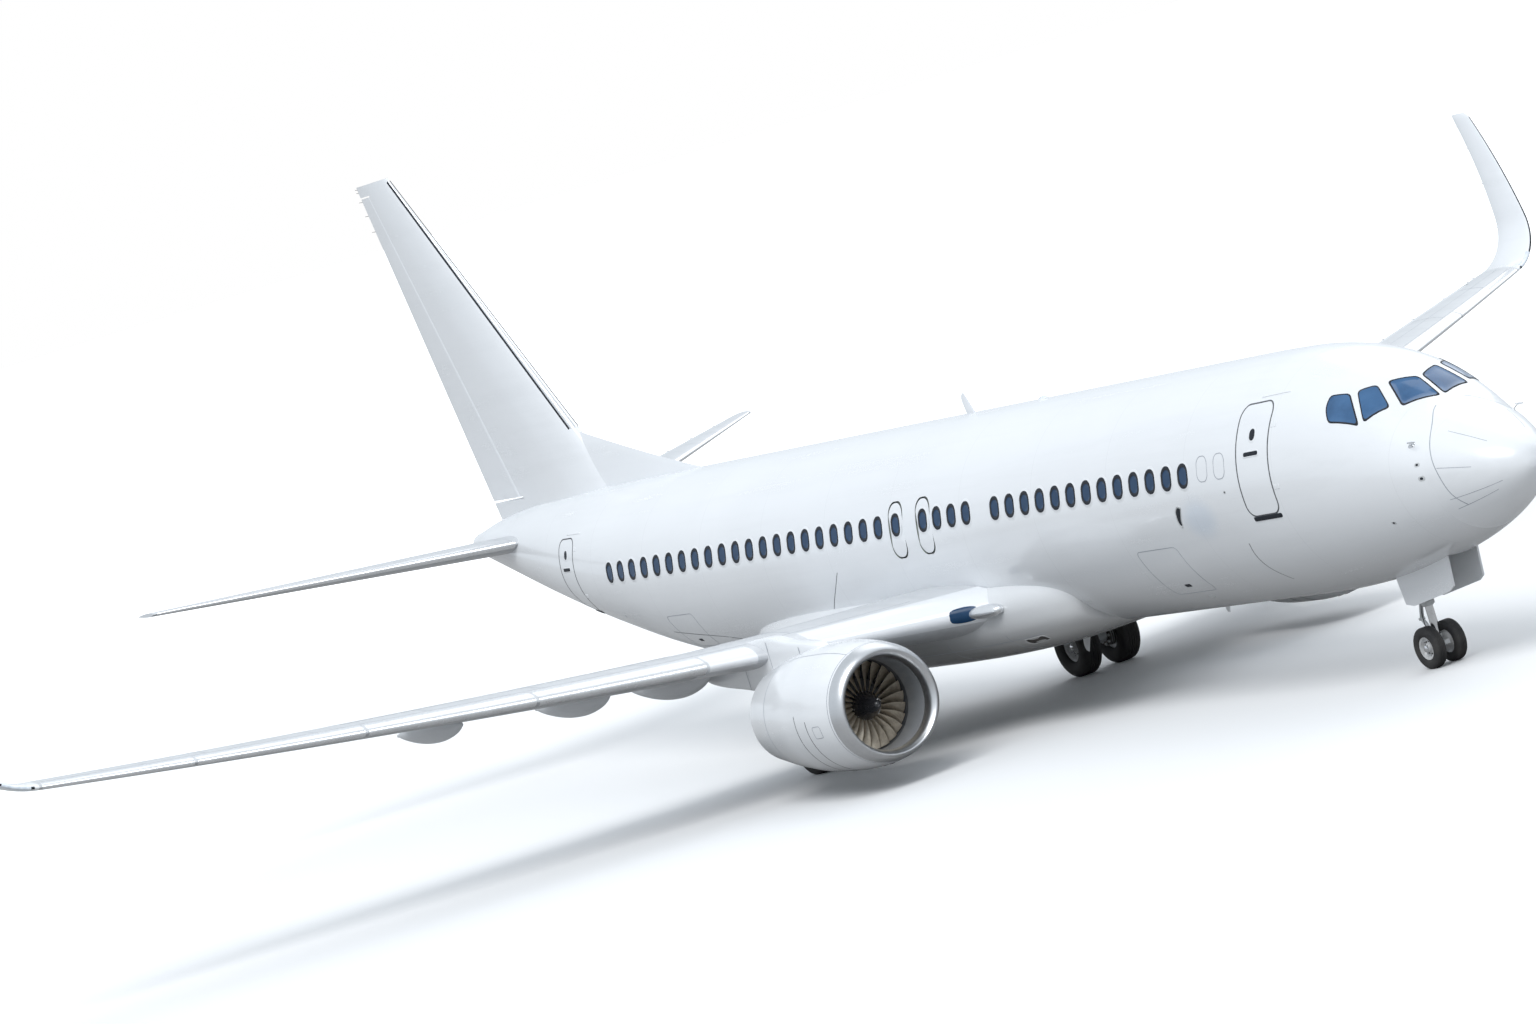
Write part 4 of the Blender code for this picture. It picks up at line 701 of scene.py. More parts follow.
def well_cutters():
    """The round wells and the slots that the main gear folds into, on both sides."""
    shapes = []
    for side in SIDES.values():
        centre = place(side * WELL_X, MAIN_STATION, 0.0)
        shapes.append(turned([(-2.95, WELL_RADIUS), (-1.69, WELL_RADIUS)], centre, "z", 48, paint=1))
        stations = MAIN_STATION - 0.24, MAIN_STATION + 0.24
        for x, roof in (((WELL_X, 1.9), -1.71), ((1.88, 3.12), -1.35)):
            shapes.append(painted(block(sorted(side * v for v in x), stations, (-2.95, roof)), 1))
    return shapes


def hull_stations(start, end, step):
    """Rows of the hull's grid: close together where the nose curves, then at equal steps."""
    nose = NOSE_LENGTH * (1 - np.cos(math.pi / 2 * np.arange(1, 61) / 60))
    rest = np.arange(NOSE_LENGTH + step, HULL_LENGTH, step)
    inner = np.concatenate([nose, rest])
    inner = inner[(inner > start + 0.004) & (inner < end - 0.004)]
    return np.concatenate([[start], inner, [end]])


def hull_length_skin(start, end, step=0.2, sides=112):
    """A closed length of the hull, its rings at the stations and its points round each ring."""
    return skin(hull_place(hull_stations(start, end, step)[:, None], turn(sides)[None]))


def exit_outline(station, spare=0.0, radius=0.23):
    """The outline of the overwing exit at a station, as places (station, height)."""
    half_height = (EXIT_TOP - EXIT_BOTTOM) / 2
    return rounded_outline(EXIT_HALF_WIDTH + spare, half_height + spare, radius, 48) + (station, EXIT_MIDDLE)


def exit_cutter(side, station):
    """The hole in the hull that an exit hatch fills, straight across."""
    return painted(prism_across(exit_outline(station, 0.014, 0.21), (side * 1.62, side * 2.2)), 1)


def build_hull():
    """The pressure hull with its bay, wells and exit holes, the radome and the tail cone."""
    body = mesh_object("hull_skin", hull_length_skin(RADOME_END, TAIL_CONE_START), ["hull", "well"])
    holes = [painted(block(*NOSE_BAY), 1), *well_cutters()]
    holes += [exit_cutter(side, s) for side in SIDES.values() for s in EXIT_STATIONS.values()]
    carve(body, "DIFFERENCE", *holes)
    dress(body, "airframe", "white_paint", replaces=["fuselage"])
    piece("radome_skin", hull_length_skin(0.012, RADOME_END - 0.0004), ["radome"], "white_paint",
          replaces=["radome"])
    cone = hull_length_skin(TAIL_CONE_START + 0.004, HULL_LENGTH, 0.06, 80)
    end = place(0.0, HULL_LENGTH, TAIL_LINE[-1][1])
    pipe = hoop([(-0.25, 0.135), (0.004, 0.15), (0.006, 0.14), (-0.2, 0.12)], end, "y", 40, paint=1)
    # A near-black disc closes the pipe's mouth: soot, and painted shade for the pipe's depth
    mouth = turned([(-0.05, 0.12), (0.0052, 0.12)], end, "y", 40, paint=2)
    piece("tail_cone_skin", [cone, pipe, mouth], ["white", "titanium", "soot_and_hole_shade"], "white_paint",
          replaces=["tail_cone"])


def build_exits():
    """The four overwing exit hatches, each with its window."""
    for word, side in SIDES.items():
        surface = flank(side)
        for which, station in EXIT_STATIONS.items():
            # The outermost band of the hatch is near-black: painted shade for the gap round the hatch
            profile = [(0, 0, 0), (0.3, 0, 0), (0.6, 0, 0), (0.85, 0, 0), (0.97, 0, 0), (1, -0.003, 3)]
            profile += [(1, -0.066, 1), (0.8, -0.066, 1), (0.4, -0.066, 1), (0, -0.066, 1)]
            hatch = lens(surface, exit_outline(station), profile, (station, EXIT_MIDDLE))
            points, faces, paints = window_shape(surface, station)
            window = points, faces, [p + 2 for p in paints]
            piece(f"exit_hatch_{which}_{word}", [hatch, window],
                  ["white", "well", "glass", "rim", "frame"], "white_paint", body=f"exit_{which}_{word}",
                  replaces=[f"exit_{which}_{word}"])


# Windows and doors


WINDOW_Z, WINDOW_HALF_WIDTH, WINDOW_HALF_HEIGHT = 0.42, 0.155, 0.2
FORWARD_WINDOWS = [7.08 + 0.526 * k for k in range(13)]
MIDDLE_WINDOWS = [14.42, 14.945, 15.47]
AFT_WINDOWS = [17.66 + 0.565 * k for k in range(21)]
PLUGGED_WINDOWS = [5.95, 6.48]


def window_shape(surface, station):
    """A cabin window: its pane, the dark seal that stands round it and the frame in the skin."""
    middle, half_width, half_height = (station, WINDOW_Z), WINDOW_HALF_WIDTH, WINDOW_HALF_HEIGHT
    outline = rounded_outline(half_width + 0.045, half_height + 0.045, half_width + 0.03, 32)
    profile = [(0, 0.002, 0), (0.4, 0.002, 0), (0.57, 0.002, 0), (0.6, 0.007, 1), (0.82, 0.008, 1)]
    profile += [(0.85, 0.004, 2), (0.95, 0.003, 2), (1, 0.0, 2), (1, -0.008, 2), (0, -0.008, 2)]
    return lens(surface, outline + middle, profile, middle)


def plug_shape(surface, station):
    """The outline of a window that has been plugged."""
    outline = rounded_outline(0.16, 0.2, 0.13, 32) + (station, WINDOW_Z + 0.06)
    return line_on(surface, *outline.T, 0.014, closed=True)


def build_windows():
    """The cabin windows of both sides."""
    for word, side in SIDES.items():
        surface = flank(side)
        windows = [window_shape(surface, s) for s in FORWARD_WINDOWS + MIDDLE_WINDOWS + AFT_WINDOWS]
        piece(f"cabin_windows_{word}", windows, ["glass", "rim", "frame"])
        plugs = [plug_shape(surface, s) for s in PLUGGED_WINDOWS]
        piece(f"window_plugs_{word}", plugs, ["faint"])


# Corners of the front, side and rear cockpit windows as (station, side distance)
PANES = [
    [(1.85, 0.035), (2.34, 0.035), (2.55, 0.47), (2.06, 0.66)],
    [(2.2, 0.78), (2.63, 0.61), (2.87, 0.85), (2.5, 1.15)],
    [(2.56, 1.2), (2.97, 0.92), (3.34, 1.05), (3.33, 1.22), (3.2, 1.34)],
]


def crown_surface(side):
    """The hull's upper half as a surface over (station, side distance)."""

    def shape(station, x):
        half_width, line, crown, _ = hull_section(station)
        share = np.clip(np.abs(x) / half_width, 0, 1)
        return place(side * x, station, line + (crown - line) * np.sqrt(1 - share**2))

    return with_normals(shape, hull_middle)


def rounded_corners(corners, radius, steps=7):
    """An outline with its corners cut by curves: each runs from a point radius before the corner to
    one radius past it, bending towards the corner (a quadratic curve)."""
    corners = np.asarray(corners, float)
    before, after = np.roll(corners, 1, 0) - corners, np.roll(corners, -1, 0) - corners
    start = corners + unit(before) * np.minimum(radius, np.linalg.norm(before, axis=1) / 2.2)[:, None]
    end = corners + unit(after) * np.minimum(radius, np.linalg.norm(after, axis=1) / 2.2)[:, None]
    t = np.linspace(0, 1, steps)[None, :, None]
    curve = (1 - t) ** 2 * start[:, None] + 2 * t * (1 - t) * corners[:, None] + t**2 * end[:, None]
    return curve.reshape(-1, 2)


def along_edges(outline, steps=4):
    """The outline with more points along its sides."""
    t = np.linspace(0, 1, steps, endpoint=False)[None, :, None]
    return (outline[:, None] * (1 - t) + np.roll(outline, -1, 0)[:, None] * t).reshape(-1, 2)


def build_cockpit():
    """The six cockpit windows with their seals."""
    for word, side in SIDES.items():
        surface = crown_surface(side)
        shapes = []
        for corners in PANES:
            outline = along_edges(rounded_corners(corners, 0.07), 3)
            profile = [(0, 0.004, 0), (0.3, 0.004, 0), (0.6, 0.004, 0), (0.9, 0.004, 0), (0.925, 0.009, 1)]
            profile += [(0.975, 0.009, 1), (1.0, 0.002, 1), (1.0, -0.01, 1), (0.5, -0.03, 1), (0, -0.05, 1)]
            shapes.append(lens(surface, outline, profile))
        piece(f"cockpit_windows_{word}", shapes, ["windscreen", "rim"])


# Doors: middle station, half width, bottom, top and corner radius
CABIN_DOORS = [(5.0, 0.43, -0.42, 1.3, 0.19), (31.25, 0.39, -0.36, 1.16, 0.19)]
CARGO_DOORS = [(8.72, 0.64, -1.62, -0.72, 0.1), (26.6, 0.6, -1.35, -0.6, 0.1)]


def outline_strip(surface, outline, width, lift, paint):
    """A thin strip round an outline given as places on the surface, in steps of about 4 cm."""
    ends = np.vstack([outline, outline[:1]])
    run = np.concatenate([[0], np.cumsum(np.linalg.norm(np.diff(ends, axis=0), axis=1))])
    at = np.linspace(0, run[-1], int(run[-1] / 0.04) + 12)[:-1]
    u, v = np.interp(at, run, ends[:, 0]), np.interp(at, run, ends[:, 1])
    return line_on(surface, u, v, width, lift, closed=True, paint=paint)


def door_strip(surface, door, steps, *look):
    """The outline of a door."""
    middle, half, bottom, top, radius = door
    outline = rounded_outline(half, (top - bottom) / 2, radius, steps) + (middle, (top + bottom) / 2)
    return outline_strip(surface, outline, *look)


def pad(surface, station, z, half_width, half_height, lift, paint=0, radius=None):
    """A small raised pad on a surface."""
    radius = min(half_width, half_height) * 0.95 if radius is None else radius
    outline = rounded_outline(half_width, half_height, radius, 24) + (station, z)
    profile = [(0, lift, paint), (0.7, lift, paint), (0.93, lift * 0.85, paint), (1, 0, paint)]
    return lens(surface, outline, profile + [(1, -0.008, paint), (0, -0.008, paint)], (station, z))


def build_doors():
    """The outlines, handles, portholes, sills and hinges of the cabin and cargo doors."""
    for word, side in SIDES.items():
        surface = flank(side)
        shapes = []
        for door in CABIN_DOORS:
            middle, half, bottom, top, _ = door
            shapes += [
                door_strip(surface, door, 80, 0.026, 0.002, 0),
                pad(surface, middle, 0.86, 0.1, 0.12, 0.004, 2),
                pad(surface, middle, 0.86, 0.075, 0.09, 0.007, 3),
                pad(surface, middle + 0.02, 0.58, 0.22, 0.055, 0.006, 2, 0.05),
                pad(surface, middle + 0.02, 0.58, 0.2, 0.034, 0.012, 3, 0.03),
                pad(surface, middle - 0.02, bottom - 0.045, half * 0.9, 0.038, 0.012, 3, 0.03),
            ]
            shapes += [pad(surface, middle - half - offset, z, 0.028, 0.04, 0.008, 4, 0.01)
                       for z in (0.0, 0.95) for offset in (0.06, 0.14)]
            shapes.append(pad(surface, middle - half + 0.08, top + 0.07, 0.36, 0.012, 0.01, 4, 0.008))
        if side < 0:
            for door in CARGO_DOORS:
                shapes.append(door_strip(surface, door, 60, 0.014, 0.0015, 1))
                shapes.append(pad(surface, door[0], door[2] + 0.16, 0.09, 0.03, 0.005, 3, 0.02))
        piece(f"cabin_doors_{word}", shapes, ["dark", "faint", "frame", "rim", "white"])


# Belly fairing


FAIRING_FRONT, FAIRING_BACK, FAIRING_Z = 12.3, 24.2, -1.5


def fairing_place(station, angle):
    """Points of the fairing: a squarish oval, (|cos|^2.7 + |sin|^2.7) ^ (-1 / 2.7) round its middle,
    which swells as (1 - |2t - 1|^2.6) ^ 0.5 over its length."""
    t = (station - FAIRING_FRONT) / (FAIRING_BACK - FAIRING_FRONT)
    swell = np.maximum(0.0, 1 - np.abs(2 * t - 1) ** 2.6) ** 0.5
    c, s = np.cos(angle), np.sin(angle)
    rounding = (np.abs(c) ** 2.7 + np.abs(s) ** 2.7) ** (-1 / 2.7)
    half_width = 1.35 + (2.12 - 1.35) * swell
    reach = np.where(s > 0, 0.78, 0.45 + (0.9 - 0.45) * swell)
    return place(half_width * c * rounding, station, FAIRING_Z + reach * s * rounding)


def fairing_middle(station):
    """The points of the fairing's middle line."""
    return place(0.0, station, FAIRING_Z)


fairing_surface = with_normals(fairing_place, fairing_middle)


def build_fairing():
    """The wing-to-body fairing with the open wheel wells, its seams and inlets."""
    stations = FAIRING_FRONT + 11.9 * (1 - np.cos(math.pi * np.arange(91) / 90)) / 2
    body = mesh_object("belly_fairing_skin", skin(fairing_place(stations[:, None], turn(112)[None])),
                       ["fairing", "well"])
    carve(body, "DIFFERENCE", *well_cutters())
    dress(body, "airframe", "white_paint", replaces=["belly_fairing"])
    shapes = [line_on(fairing_surface, station, np.linspace(-0.35, -math.pi + 0.35, 60), 0.014, paint=1)
              for station in (14.2, 16.1, 18.3, 21.3, 22.8)]
    for side in SIDES.values():
        for height in (-0.5, -1.2):
            angle = height if side > 0 else -math.pi - height
            shapes.append(line_on(fairing_surface, np.linspace(13.2, 23.4, 70), angle, 0.012, paint=1))
        # The inlet's mouth is a flat near-black face: painted shade inside the opening
        inlet = 13.62, -0.62 if side > 0 else -math.pi + 0.62
        profile = [(0, 0.001, 0), (0.85, 0.001, 0), (0.9, 0.01, 2), (0.97, 0.012, 2), (1, 0, 2)]
        outline = rounded_outline(0.3, 0.085, 0.07, 32) + inlet
        shapes.append(lens(fairing_surface, outline, profile + [(1, -0.02, 2), (0, -0.02, 2)], inlet))
    piece("fairing_fittings", shapes, ["soot_and_hole_shade", "faint", "fairing"])


# Wings


def foil(t, thickness):
    """Half thickness and camber over chord at fractions t of the chord: the four-digit thickness
    formula with a blunt trailing edge, and a camber that is greatest near the back."""
    half = 0.2969 * np.sqrt(t) - 0.126 * t - 0.3516 * t**2 + 0.2843 * t**3 - 0.1015 * t**4
    return 5 * thickness * half + 0.001 * t, 0.014 * np.sin(math.pi * t) + 0.012 * np.sin(math.pi * t**2)


def foil_offsets(chord, t, thickness, upper, grow):
    """How far points of a foil lie aft of its leading edge, how far its camber lifts them off the chord
    line and how far its thickness does, with the skin moved outwards by grow."""
    half, camber = foil(t, thickness)
    aft = chord * t - grow * np.maximum(0.0, 1 - t / 0.02)
    return aft, chord * camber, upper * (chord * half + grow * np.sqrt(np.minimum(1, t / 0.004)))


def wing_leading(x):
    """Stations of the leading edge, which runs further forward inboard of GLOVE_X."""
    outer = KINK_LEADING + LEADING_SLOPE * (x - KINK_X)
    corner = KINK_LEADING + LEADING_SLOPE * (GLOVE_X - KINK_X)
    return np.where(x < GLOVE_X, between(x, (ROOT_X, GLOVE_X), (ROOT_LEADING, corner)), outer)


def wing_trailing(x):
    """Stations of the trailing edge, which bends at KINK_X."""
    outer = KINK_TRAILING + TRAILING_SLOPE * (x - KINK_X)
    return np.where(x < KINK_X, between(x, (ROOT_X, KINK_X), (ROOT_TRAILING, KINK_TRAILING)), outer)


def chord_station(x, share):
    """Stations at a share of the wing's chord."""
    return wing_leading(x) + share * (wing_trailing(x) - wing_leading(x))


def wing_height(x):
    """Height of the chord line: straight dihedral and a bend that grows as the square of the span."""
    out = x - ROOT_X
    return ROOT_Z + out * math.tan(DIHEDRAL) + TIP_BEND * (out / (TIP_X - ROOT_X)) ** 2


def wing_at(side, x, t, upper, grow=0.0):
    """Points of the wing at side distances x and chord fractions t, on the upper side where upper
    is 1 and the lower where it is -1, set at right angles to the wing's rise and turned by its
    incidence."""
    x, t, upper = np.broadcast_arrays(np.asarray(x, float), np.asarray(t, float), upper)
    leading = wing_leading(x)
    chord = wing_trailing(x) - leading
    inner = between(x, (ROOT_X, KINK_X), (0.142, 0.118))
    thickness = np.where(x < KINK_X, inner, between(x, (KINK_X, WING_END_X), (0.118, 0.102)))
    incidence = between(x, (ROOT_X, WING_END_X), (math.radians(1.5), math.radians(-1.5)))
    slope = np.arctan((wing_height(x + 0.01) - wing_height(x - 0.01)) / 0.02)
    aft, bend, rise = foil_offsets(chord, t, thickness, upper, grow)
    lift = bend + rise - (aft - 0.3 * chord) * np.tan(incidence)
    return place(side * (x - lift * np.sin(slope)), leading + aft, wing_height(x) + lift * np.cos(slope))


def round_foil(front=0.0, back=1.0, count=30):
    """Chord fractions and sides of a foil's outline: over the top to the back and forward below."""
    if front > 0:
        t = np.linspace(front, back, count)
        return np.concatenate([t, t[::-1]]), np.repeat((1, -1), count)
    t = back * (1 - np.cos(math.pi / 2 * np.arange(count + 1) / count))
    return np.concatenate([t, t[:0:-1]]), np.repeat((1, -1), (count + 1, count))


def wing_panel(side, top):
    """The wing's upper or lower side as a surface over (side distance, station)."""
    upper = 1 if top else -1

    def shape(x, station):
        return wing_at(side, x, (station - wing_leading(x)) / (wing_trailing(x) - wing_leading(x)), upper)

    return with_normals(shape, facing=(0, 0, upper))


def spread(marks, step):
    """Places from the first mark to the last, at most a step apart, with every mark among them."""
    runs = [np.linspace(a, b, max(2, math.ceil((b - a) / step) + 1))[:-1] for a, b in zip(marks, marks[1:])]
    return np.concatenate(runs + [[marks[-1]]])


def whole_wing(side):
    """The wing from inside the hull to its bend, with flaps and aileron still in it."""
    t, upper = round_foil()
    xs = spread([1.5, ROOT_X, GLOVE_X, KINK_X, 8.0, 12.35, WING_END_X], 0.3)
    return skin(wing_at(side, xs[:, None], t, upper))


def flap_block(side, inset=0.0):
    """The space behind the rear spar that the flaps fill."""
    xs, fronts = np.array(FLAP_FRONT).T
    xs = xs + (inset, 0, -inset)
    outline = list(zip(side * xs, fronts + 1.2 * inset)) + [(side * xs[2], 26.0), (side * xs[0], 26.0)]
    return prism_up(outline, (-3.0, 2.5))


def hinge_line(side, x):
    """Station and half thickness of the wing at the aileron's hinge."""
    top, low = (wing_at(side, x, AILERON_HINGE, upper) for upper in (1, -1))
    return float((top[1] + low[1]) / 2 + LENGTH / 2), float(np.linalg.norm(top - low) / 2)


def aileron_block(side):
    """The space that the aileron moves in."""
    outline = []
    for x in (AILERON_X[0] - 0.035, AILERON_X[1] + 0.035):
        station, half = hinge_line(side, x)
        outline.append((side * x, station - 1.05 * half - 0.008))
    return prism_up(outline + [(side * 15.635, 26.5), (side * 12.515, 26.5)], (-2.0, 3.0))


def with_nose(rings, stretch):
    """Outlines behind a hinge line, closed in front by half rounds: centre - up * cos - ahead * sin."""
    upper, lower = rings[:, 0], rings[:, -1]
    up, centre = (upper - lower) / 2 * 0.985, (upper + lower) / 2
    a = (math.pi * np.arange(1, 16) / 16)[None, :, None]
    ahead = np.array((0, 1, 0)) * (np.linalg.norm(up, axis=1) * stretch)[:, None]
    nose = centre[:, None] - up[:, None] * np.cos(a) - ahead[:, None] * np.sin(a)
    return np.concatenate([rings, nose], 1)


def shell(points_at, where, t, upper, lift, sink):
    """A thin skin over part of a foil, from lift above its surface to sink below it."""
    outer, inner = points_at(where, t, upper, lift), points_at(where, t, upper, -sink)
    return skin(np.concatenate([outer, inner[:, ::-1]], 1))


def leading_shell(points_at, spans, reach, lift=0.004):
    """Shells round a leading edge: each runs from reach[0] of the chord below, round the front, to
    reach[1] above."""
    q = np.linspace(-1, 1, 33)
    t = np.where(q < 0, reach[0], reach[1]) * q**2
    shapes = []
    for start, end in spans:
        where = np.linspace(start, end, max(6, int(abs(end - start) / 0.25)))[:, None]
        shapes.append(shell(points_at, where, t, np.where(q < 0, -1, 1), lift, 0.012))
    return shapes


def pod(side, x, start, end, radius):
    """A flap track fairing: an oval whose radius runs along it as sin(pi t^0.85)^0.75."""
    t = np.linspace(0, 1, 44)[:, None]
    r = radius * np.maximum(0.05, np.sin(math.pi * t**0.85)) ** 0.75
    under = wing_height(x) - 0.18 - 0.07 * t
    a = turn(28)[None]
    x = side * x + 0.75 * r * np.cos(a)
    return skin(place(x, start + (end - start) * t, under + 1.25 * r * np.sin(a)))


def flap_edge(x):
    """Stations of the flaps' front edge."""
    return np.interp(x, *np.array(FLAP_FRONT).T)


def spoiler(surface, x0, x1):
    """A raised panel in front of the flaps, between two side distances."""
    corners = [(x, flap_edge(x) - ahead) for x, ahead in ((x0, 0.78), (x1, 0.78), (x1, 0.015), (x0, 0.015))]
    outline = along_edges(rounded_corners(corners, 0.03, 4), 6)
    profile = [(share, 0.005, 0) for share in (0, 0.35, 0.7, 0.99)]
    return lens(surface, outline, profile + [(1, 0, 0), (1, -0.01, 0), (0, -0.02, 0)])


def build_wings():
    """Wings with slats and spoilers, flaps with their track fairings, ailerons and winglets."""
    for word, side in SIDES.items():
        wing = mesh_object(f"wing_skin_{word}", whole_wing(side), ["wing", "well", "under"])
        # Faces that look down get the darker finish: painted shade
        paint_shade_below(wing.data, 2, 6.0)
        carve(wing, "DIFFERENCE", flap_block(side), aileron_block(side), *well_cutters())
        dress(wing, "airframe", "wing_grey", replaces=[f"wing_{word}"])
        flaps = mesh_object(f"flap_skin_{word}", whole_wing(side), ["panel"])
        carve(flaps, "INTERSECT", flap_block(side, 0.004))
        dress(flaps, "airframe", "wing_grey", replaces=[f"flaps_{word}"])
        pods = [pod(side, *sizes) for sizes in TRACK_FAIRINGS]
        piece(f"track_fairings_{word}", pods, ["wing"], "wing_grey")
        t, upper = round_foil(AILERON_HINGE, 1.0, 16)
        rings = with_nose(wing_at(side, np.linspace(*AILERON_X, 16)[:, None], t, upper), 1.04)
        piece(f"aileron_skin_{word}", skin(rings), ["panel"], "wing_grey", body=f"aileron_{word}",
              replaces=[f"aileron_{word}"])
        build_wing_fittings(word, side)
        build_winglet(word, side)


SLAT_SPANS = [(5.95, 8.55), (8.6, 11.2), (11.25, 13.85), (13.9, 16.25)]
GLOVE_SPANS = [(1.75, GLOVE_X), (5.15, 5.9)]
SPOILERS = [(2.95, 4.75), (5.75, 7.1), (7.14, 8.5), (8.54, 9.9), (9.94, 11.3)]


def build_wing_fittings(word, side):
    """Slats, leading edge skins, spoilers and the panel lines above and below one wing."""
    slats = leading_shell(partial(wing_at, side), SLAT_SPANS, (0.035, 0.13))
    piece(f"slats_{word}", slats, ["metal"], "bare_metal")
    glove = leading_shell(partial(wing_at, side), GLOVE_SPANS, (0.02, 0.12), 0.003)
    piece(f"glove_edges_{word}", glove, ["white"], "white_paint")
    top, below = wing_panel(side, True), wing_panel(side, False)
    shapes = [spoiler(top, a, b) for a, b in SPOILERS]
    for a, b in SPOILERS:
        xs = np.linspace(a, b, 14)
        shapes.append(line_on(top, xs, flap_edge(xs) - 0.795, 0.014, 0.002, paint=1))
    xs = np.linspace(2.6, 16.2, 90)
    shapes += [line_on(surface, xs, chord_station(xs, share), 0.01, paint=2)
               for share in (0.16, 0.42) for surface in (top, below)]
    for x in (GLOVE_X, 6.6, 8.3, 10.1, 11.9, 13.6, 15.2):
        stations = np.linspace(chord_station(x, 0.17), chord_station(x, 0.68), 24)
        shapes += [line_on(surface, x, stations, 0.01, paint=2) for surface in (top, below)]
    for x in np.arange(5.9, 15.6, 0.78):
        hatch = rounded_outline(0.2, 0.12, 0.115, 32) + (x, float(chord_station(x, 0.3)))
        shapes.append(outline_strip(below, hatch, 0.012, 0.0015, 2))
    shapes += [pad(below, x, 18.6, 0.16, 0.1, 0.004, 0) for x in (3.3, 4.0)]
    piece(f"wing_panels_{word}", shapes, ["panel", "dark", "faint"])
    seams = [line_on(surface, x, np.linspace(flap_edge(x) + 0.02, float(wing_trailing(x)) - 0.01, 12), 0.022)
             for x in (5.05, 8.0) for surface in (top, below)]
    xs = np.linspace(2.4, 12.25, 60)
    seams.append(line_on(top, xs, flap_edge(xs) * 0.45 + wing_trailing(xs) * 0.55, 0.014, paint=1))
    piece(f"flap_seams_{word}", seams, ["dark", "faint"])


BEND_RADIUS, CANT = 1.3, math.radians(76.0)


def winglet_at(side, share, t, upper, grow=0.0):
    """Points of the winglet at shares of its length: a middle line that bends through an arc to its
    lean and runs on straight, with a leading edge of 0.62 share + 0.38 share^2 and a chord that
    shrinks as share^0.8."""
    share, t, upper = np.broadcast_arrays(np.asarray(share, float), np.asarray(t, float), upper)
    start_lean = math.atan((wing_height(16.31) - wing_height(16.29)) / 0.02)
    arc = BEND_RADIUS * (CANT - start_lean)
    x_at_arc = WING_END_X + BEND_RADIUS * (math.sin(CANT) - math.sin(start_lean))
    total = arc + (TIP_X - x_at_arc) / math.cos(CANT)
    distance = share * total
    lean = np.minimum(CANT, start_lean + distance / BEND_RADIUS)
    beyond = np.maximum(0.0, distance - arc)
    x = WING_END_X + BEND_RADIUS * (np.sin(lean) - math.sin(start_lean)) + beyond * np.cos(lean)
    z = wing_height(WING_END_X) + BEND_RADIUS * (math.cos(start_lean) - np.cos(lean)) + beyond * np.sin(lean)
    start = float(wing_leading(WING_END_X))
    first_chord = float(wing_trailing(WING_END_X)) - start
    leading = start + (25.42 - start) * (0.62 * share + 0.38 * share**2)
    chord = first_chord + (0.56 - first_chord) * share**0.8
    tip = np.maximum(0.0, (share - 0.965) / 0.035) ** 2
    leading, chord = leading + 0.09 * tip, chord - 0.12 * tip
    thickness = between(np.minimum(1, share * 3), (0, 1), (0.102, 0.085)) * (1 - 0.5 * tip)
    aft, bend, rise = foil_offsets(chord, t, thickness, upper, grow)
    lift = bend + rise - (aft - 0.3 * chord) * np.tan(math.radians(-1.5) * (1 - share))
    return place(side * (x - lift * np.sin(lean)), leading + aft, z + lift * np.cos(lean))


def build_winglet(word, side):
    """The blended winglet with its dark leading edge and its lamp."""
    points_at = partial(winglet_at, side)
    shares = np.concatenate([np.linspace(0, 0.95, 60), np.linspace(0.955, 1, 14)])[:, None]
    piece(f"winglet_skin_{word}", skin(points_at(shares, *round_foil())), ["white"], "white_paint",
          replaces=[f"winglet_{word}"])
    q = np.linspace(-1, 1, 25)
    upper = np.where(q < 0, -1, 1)
    edge = shell(points_at, np.linspace(0.02, 0.97, 60)[:, None], 0.012 * q**2, upper, 0.003, 0.008)
    piece(f"winglet_edge_{word}", edge, ["rim"], "bare_metal")
    lamp = shell(points_at, np.linspace(0.035, 0.16, 16)[:, None], 0.1 * q**2 * 0.55, upper, 0.007, 0.008)
    piece(f"tip_light_{word}", lamp, ["lamp"])


# Tail


def fin_at(z, t, upper, grow=0.0):
    """Points of the fin at heights z and chord fractions t, on the port side where upper is 1."""
    z, t, upper = np.broadcast_arrays(np.asarray(z, float), np.asarray(t, float), upper)
    leading = between(z, FIN_Z, FIN_LEADING)
    chord = between(z, FIN_Z, FIN_TRAILING) - leading
    aft, _, rise = foil_offsets(chord, t, 0.105, upper, grow)
    return place(rise, leading + aft, z)


def stabiliser_at(side, x, t, upper, grow=0.0):
    """Points of the stabiliser at side distances x and chord fractions t."""
    x, t, upper = np.broadcast_arrays(np.asarray(x, float), np.asarray(t, float), upper)
    leading = between(x, STABILISER_X, STABILISER_LEADING)
    chord = between(x, STABILISER_X, STABILISER_TRAILING) - leading
    z = 1.2 + (x - 0.9) * math.tan(STABILISER_DIHEDRAL)
    aft, _, rise = foil_offsets(chord, t, 0.1, upper, grow)
    x = x - rise * math.sin(STABILISER_DIHEDRAL)
    return place(side * x, leading + aft, z + rise * math.cos(STABILISER_DIHEDRAL))


def shrouds(points_at, span, hinge):
    """The two lips of thin skin that reach back over the nose of a rudder or elevator, as far as
    0.42 of the section's half thickness in front of its hinge line."""
    where = np.linspace(span[0] + 0.004, span[1] - 0.004, 40)[:, None]
    top, low = points_at(where, hinge, 1), points_at(where, hinge, -1)
    half = np.linalg.norm(top - low, axis=-1) / 2
    chord = points_at(where, 1.0, 0)[..., 1] - points_at(where, 0.0, 0)[..., 1]
    front, back = hinge - (1.1 * half + 0.03) / chord, hinge - (0.42 * half + 0.006) / chord
    t = front + (back - front) * np.linspace(0, 1, 8)
    return [shell(points_at, where, t, upper, -0.0004, 0.0038) for upper in (1, -1)]


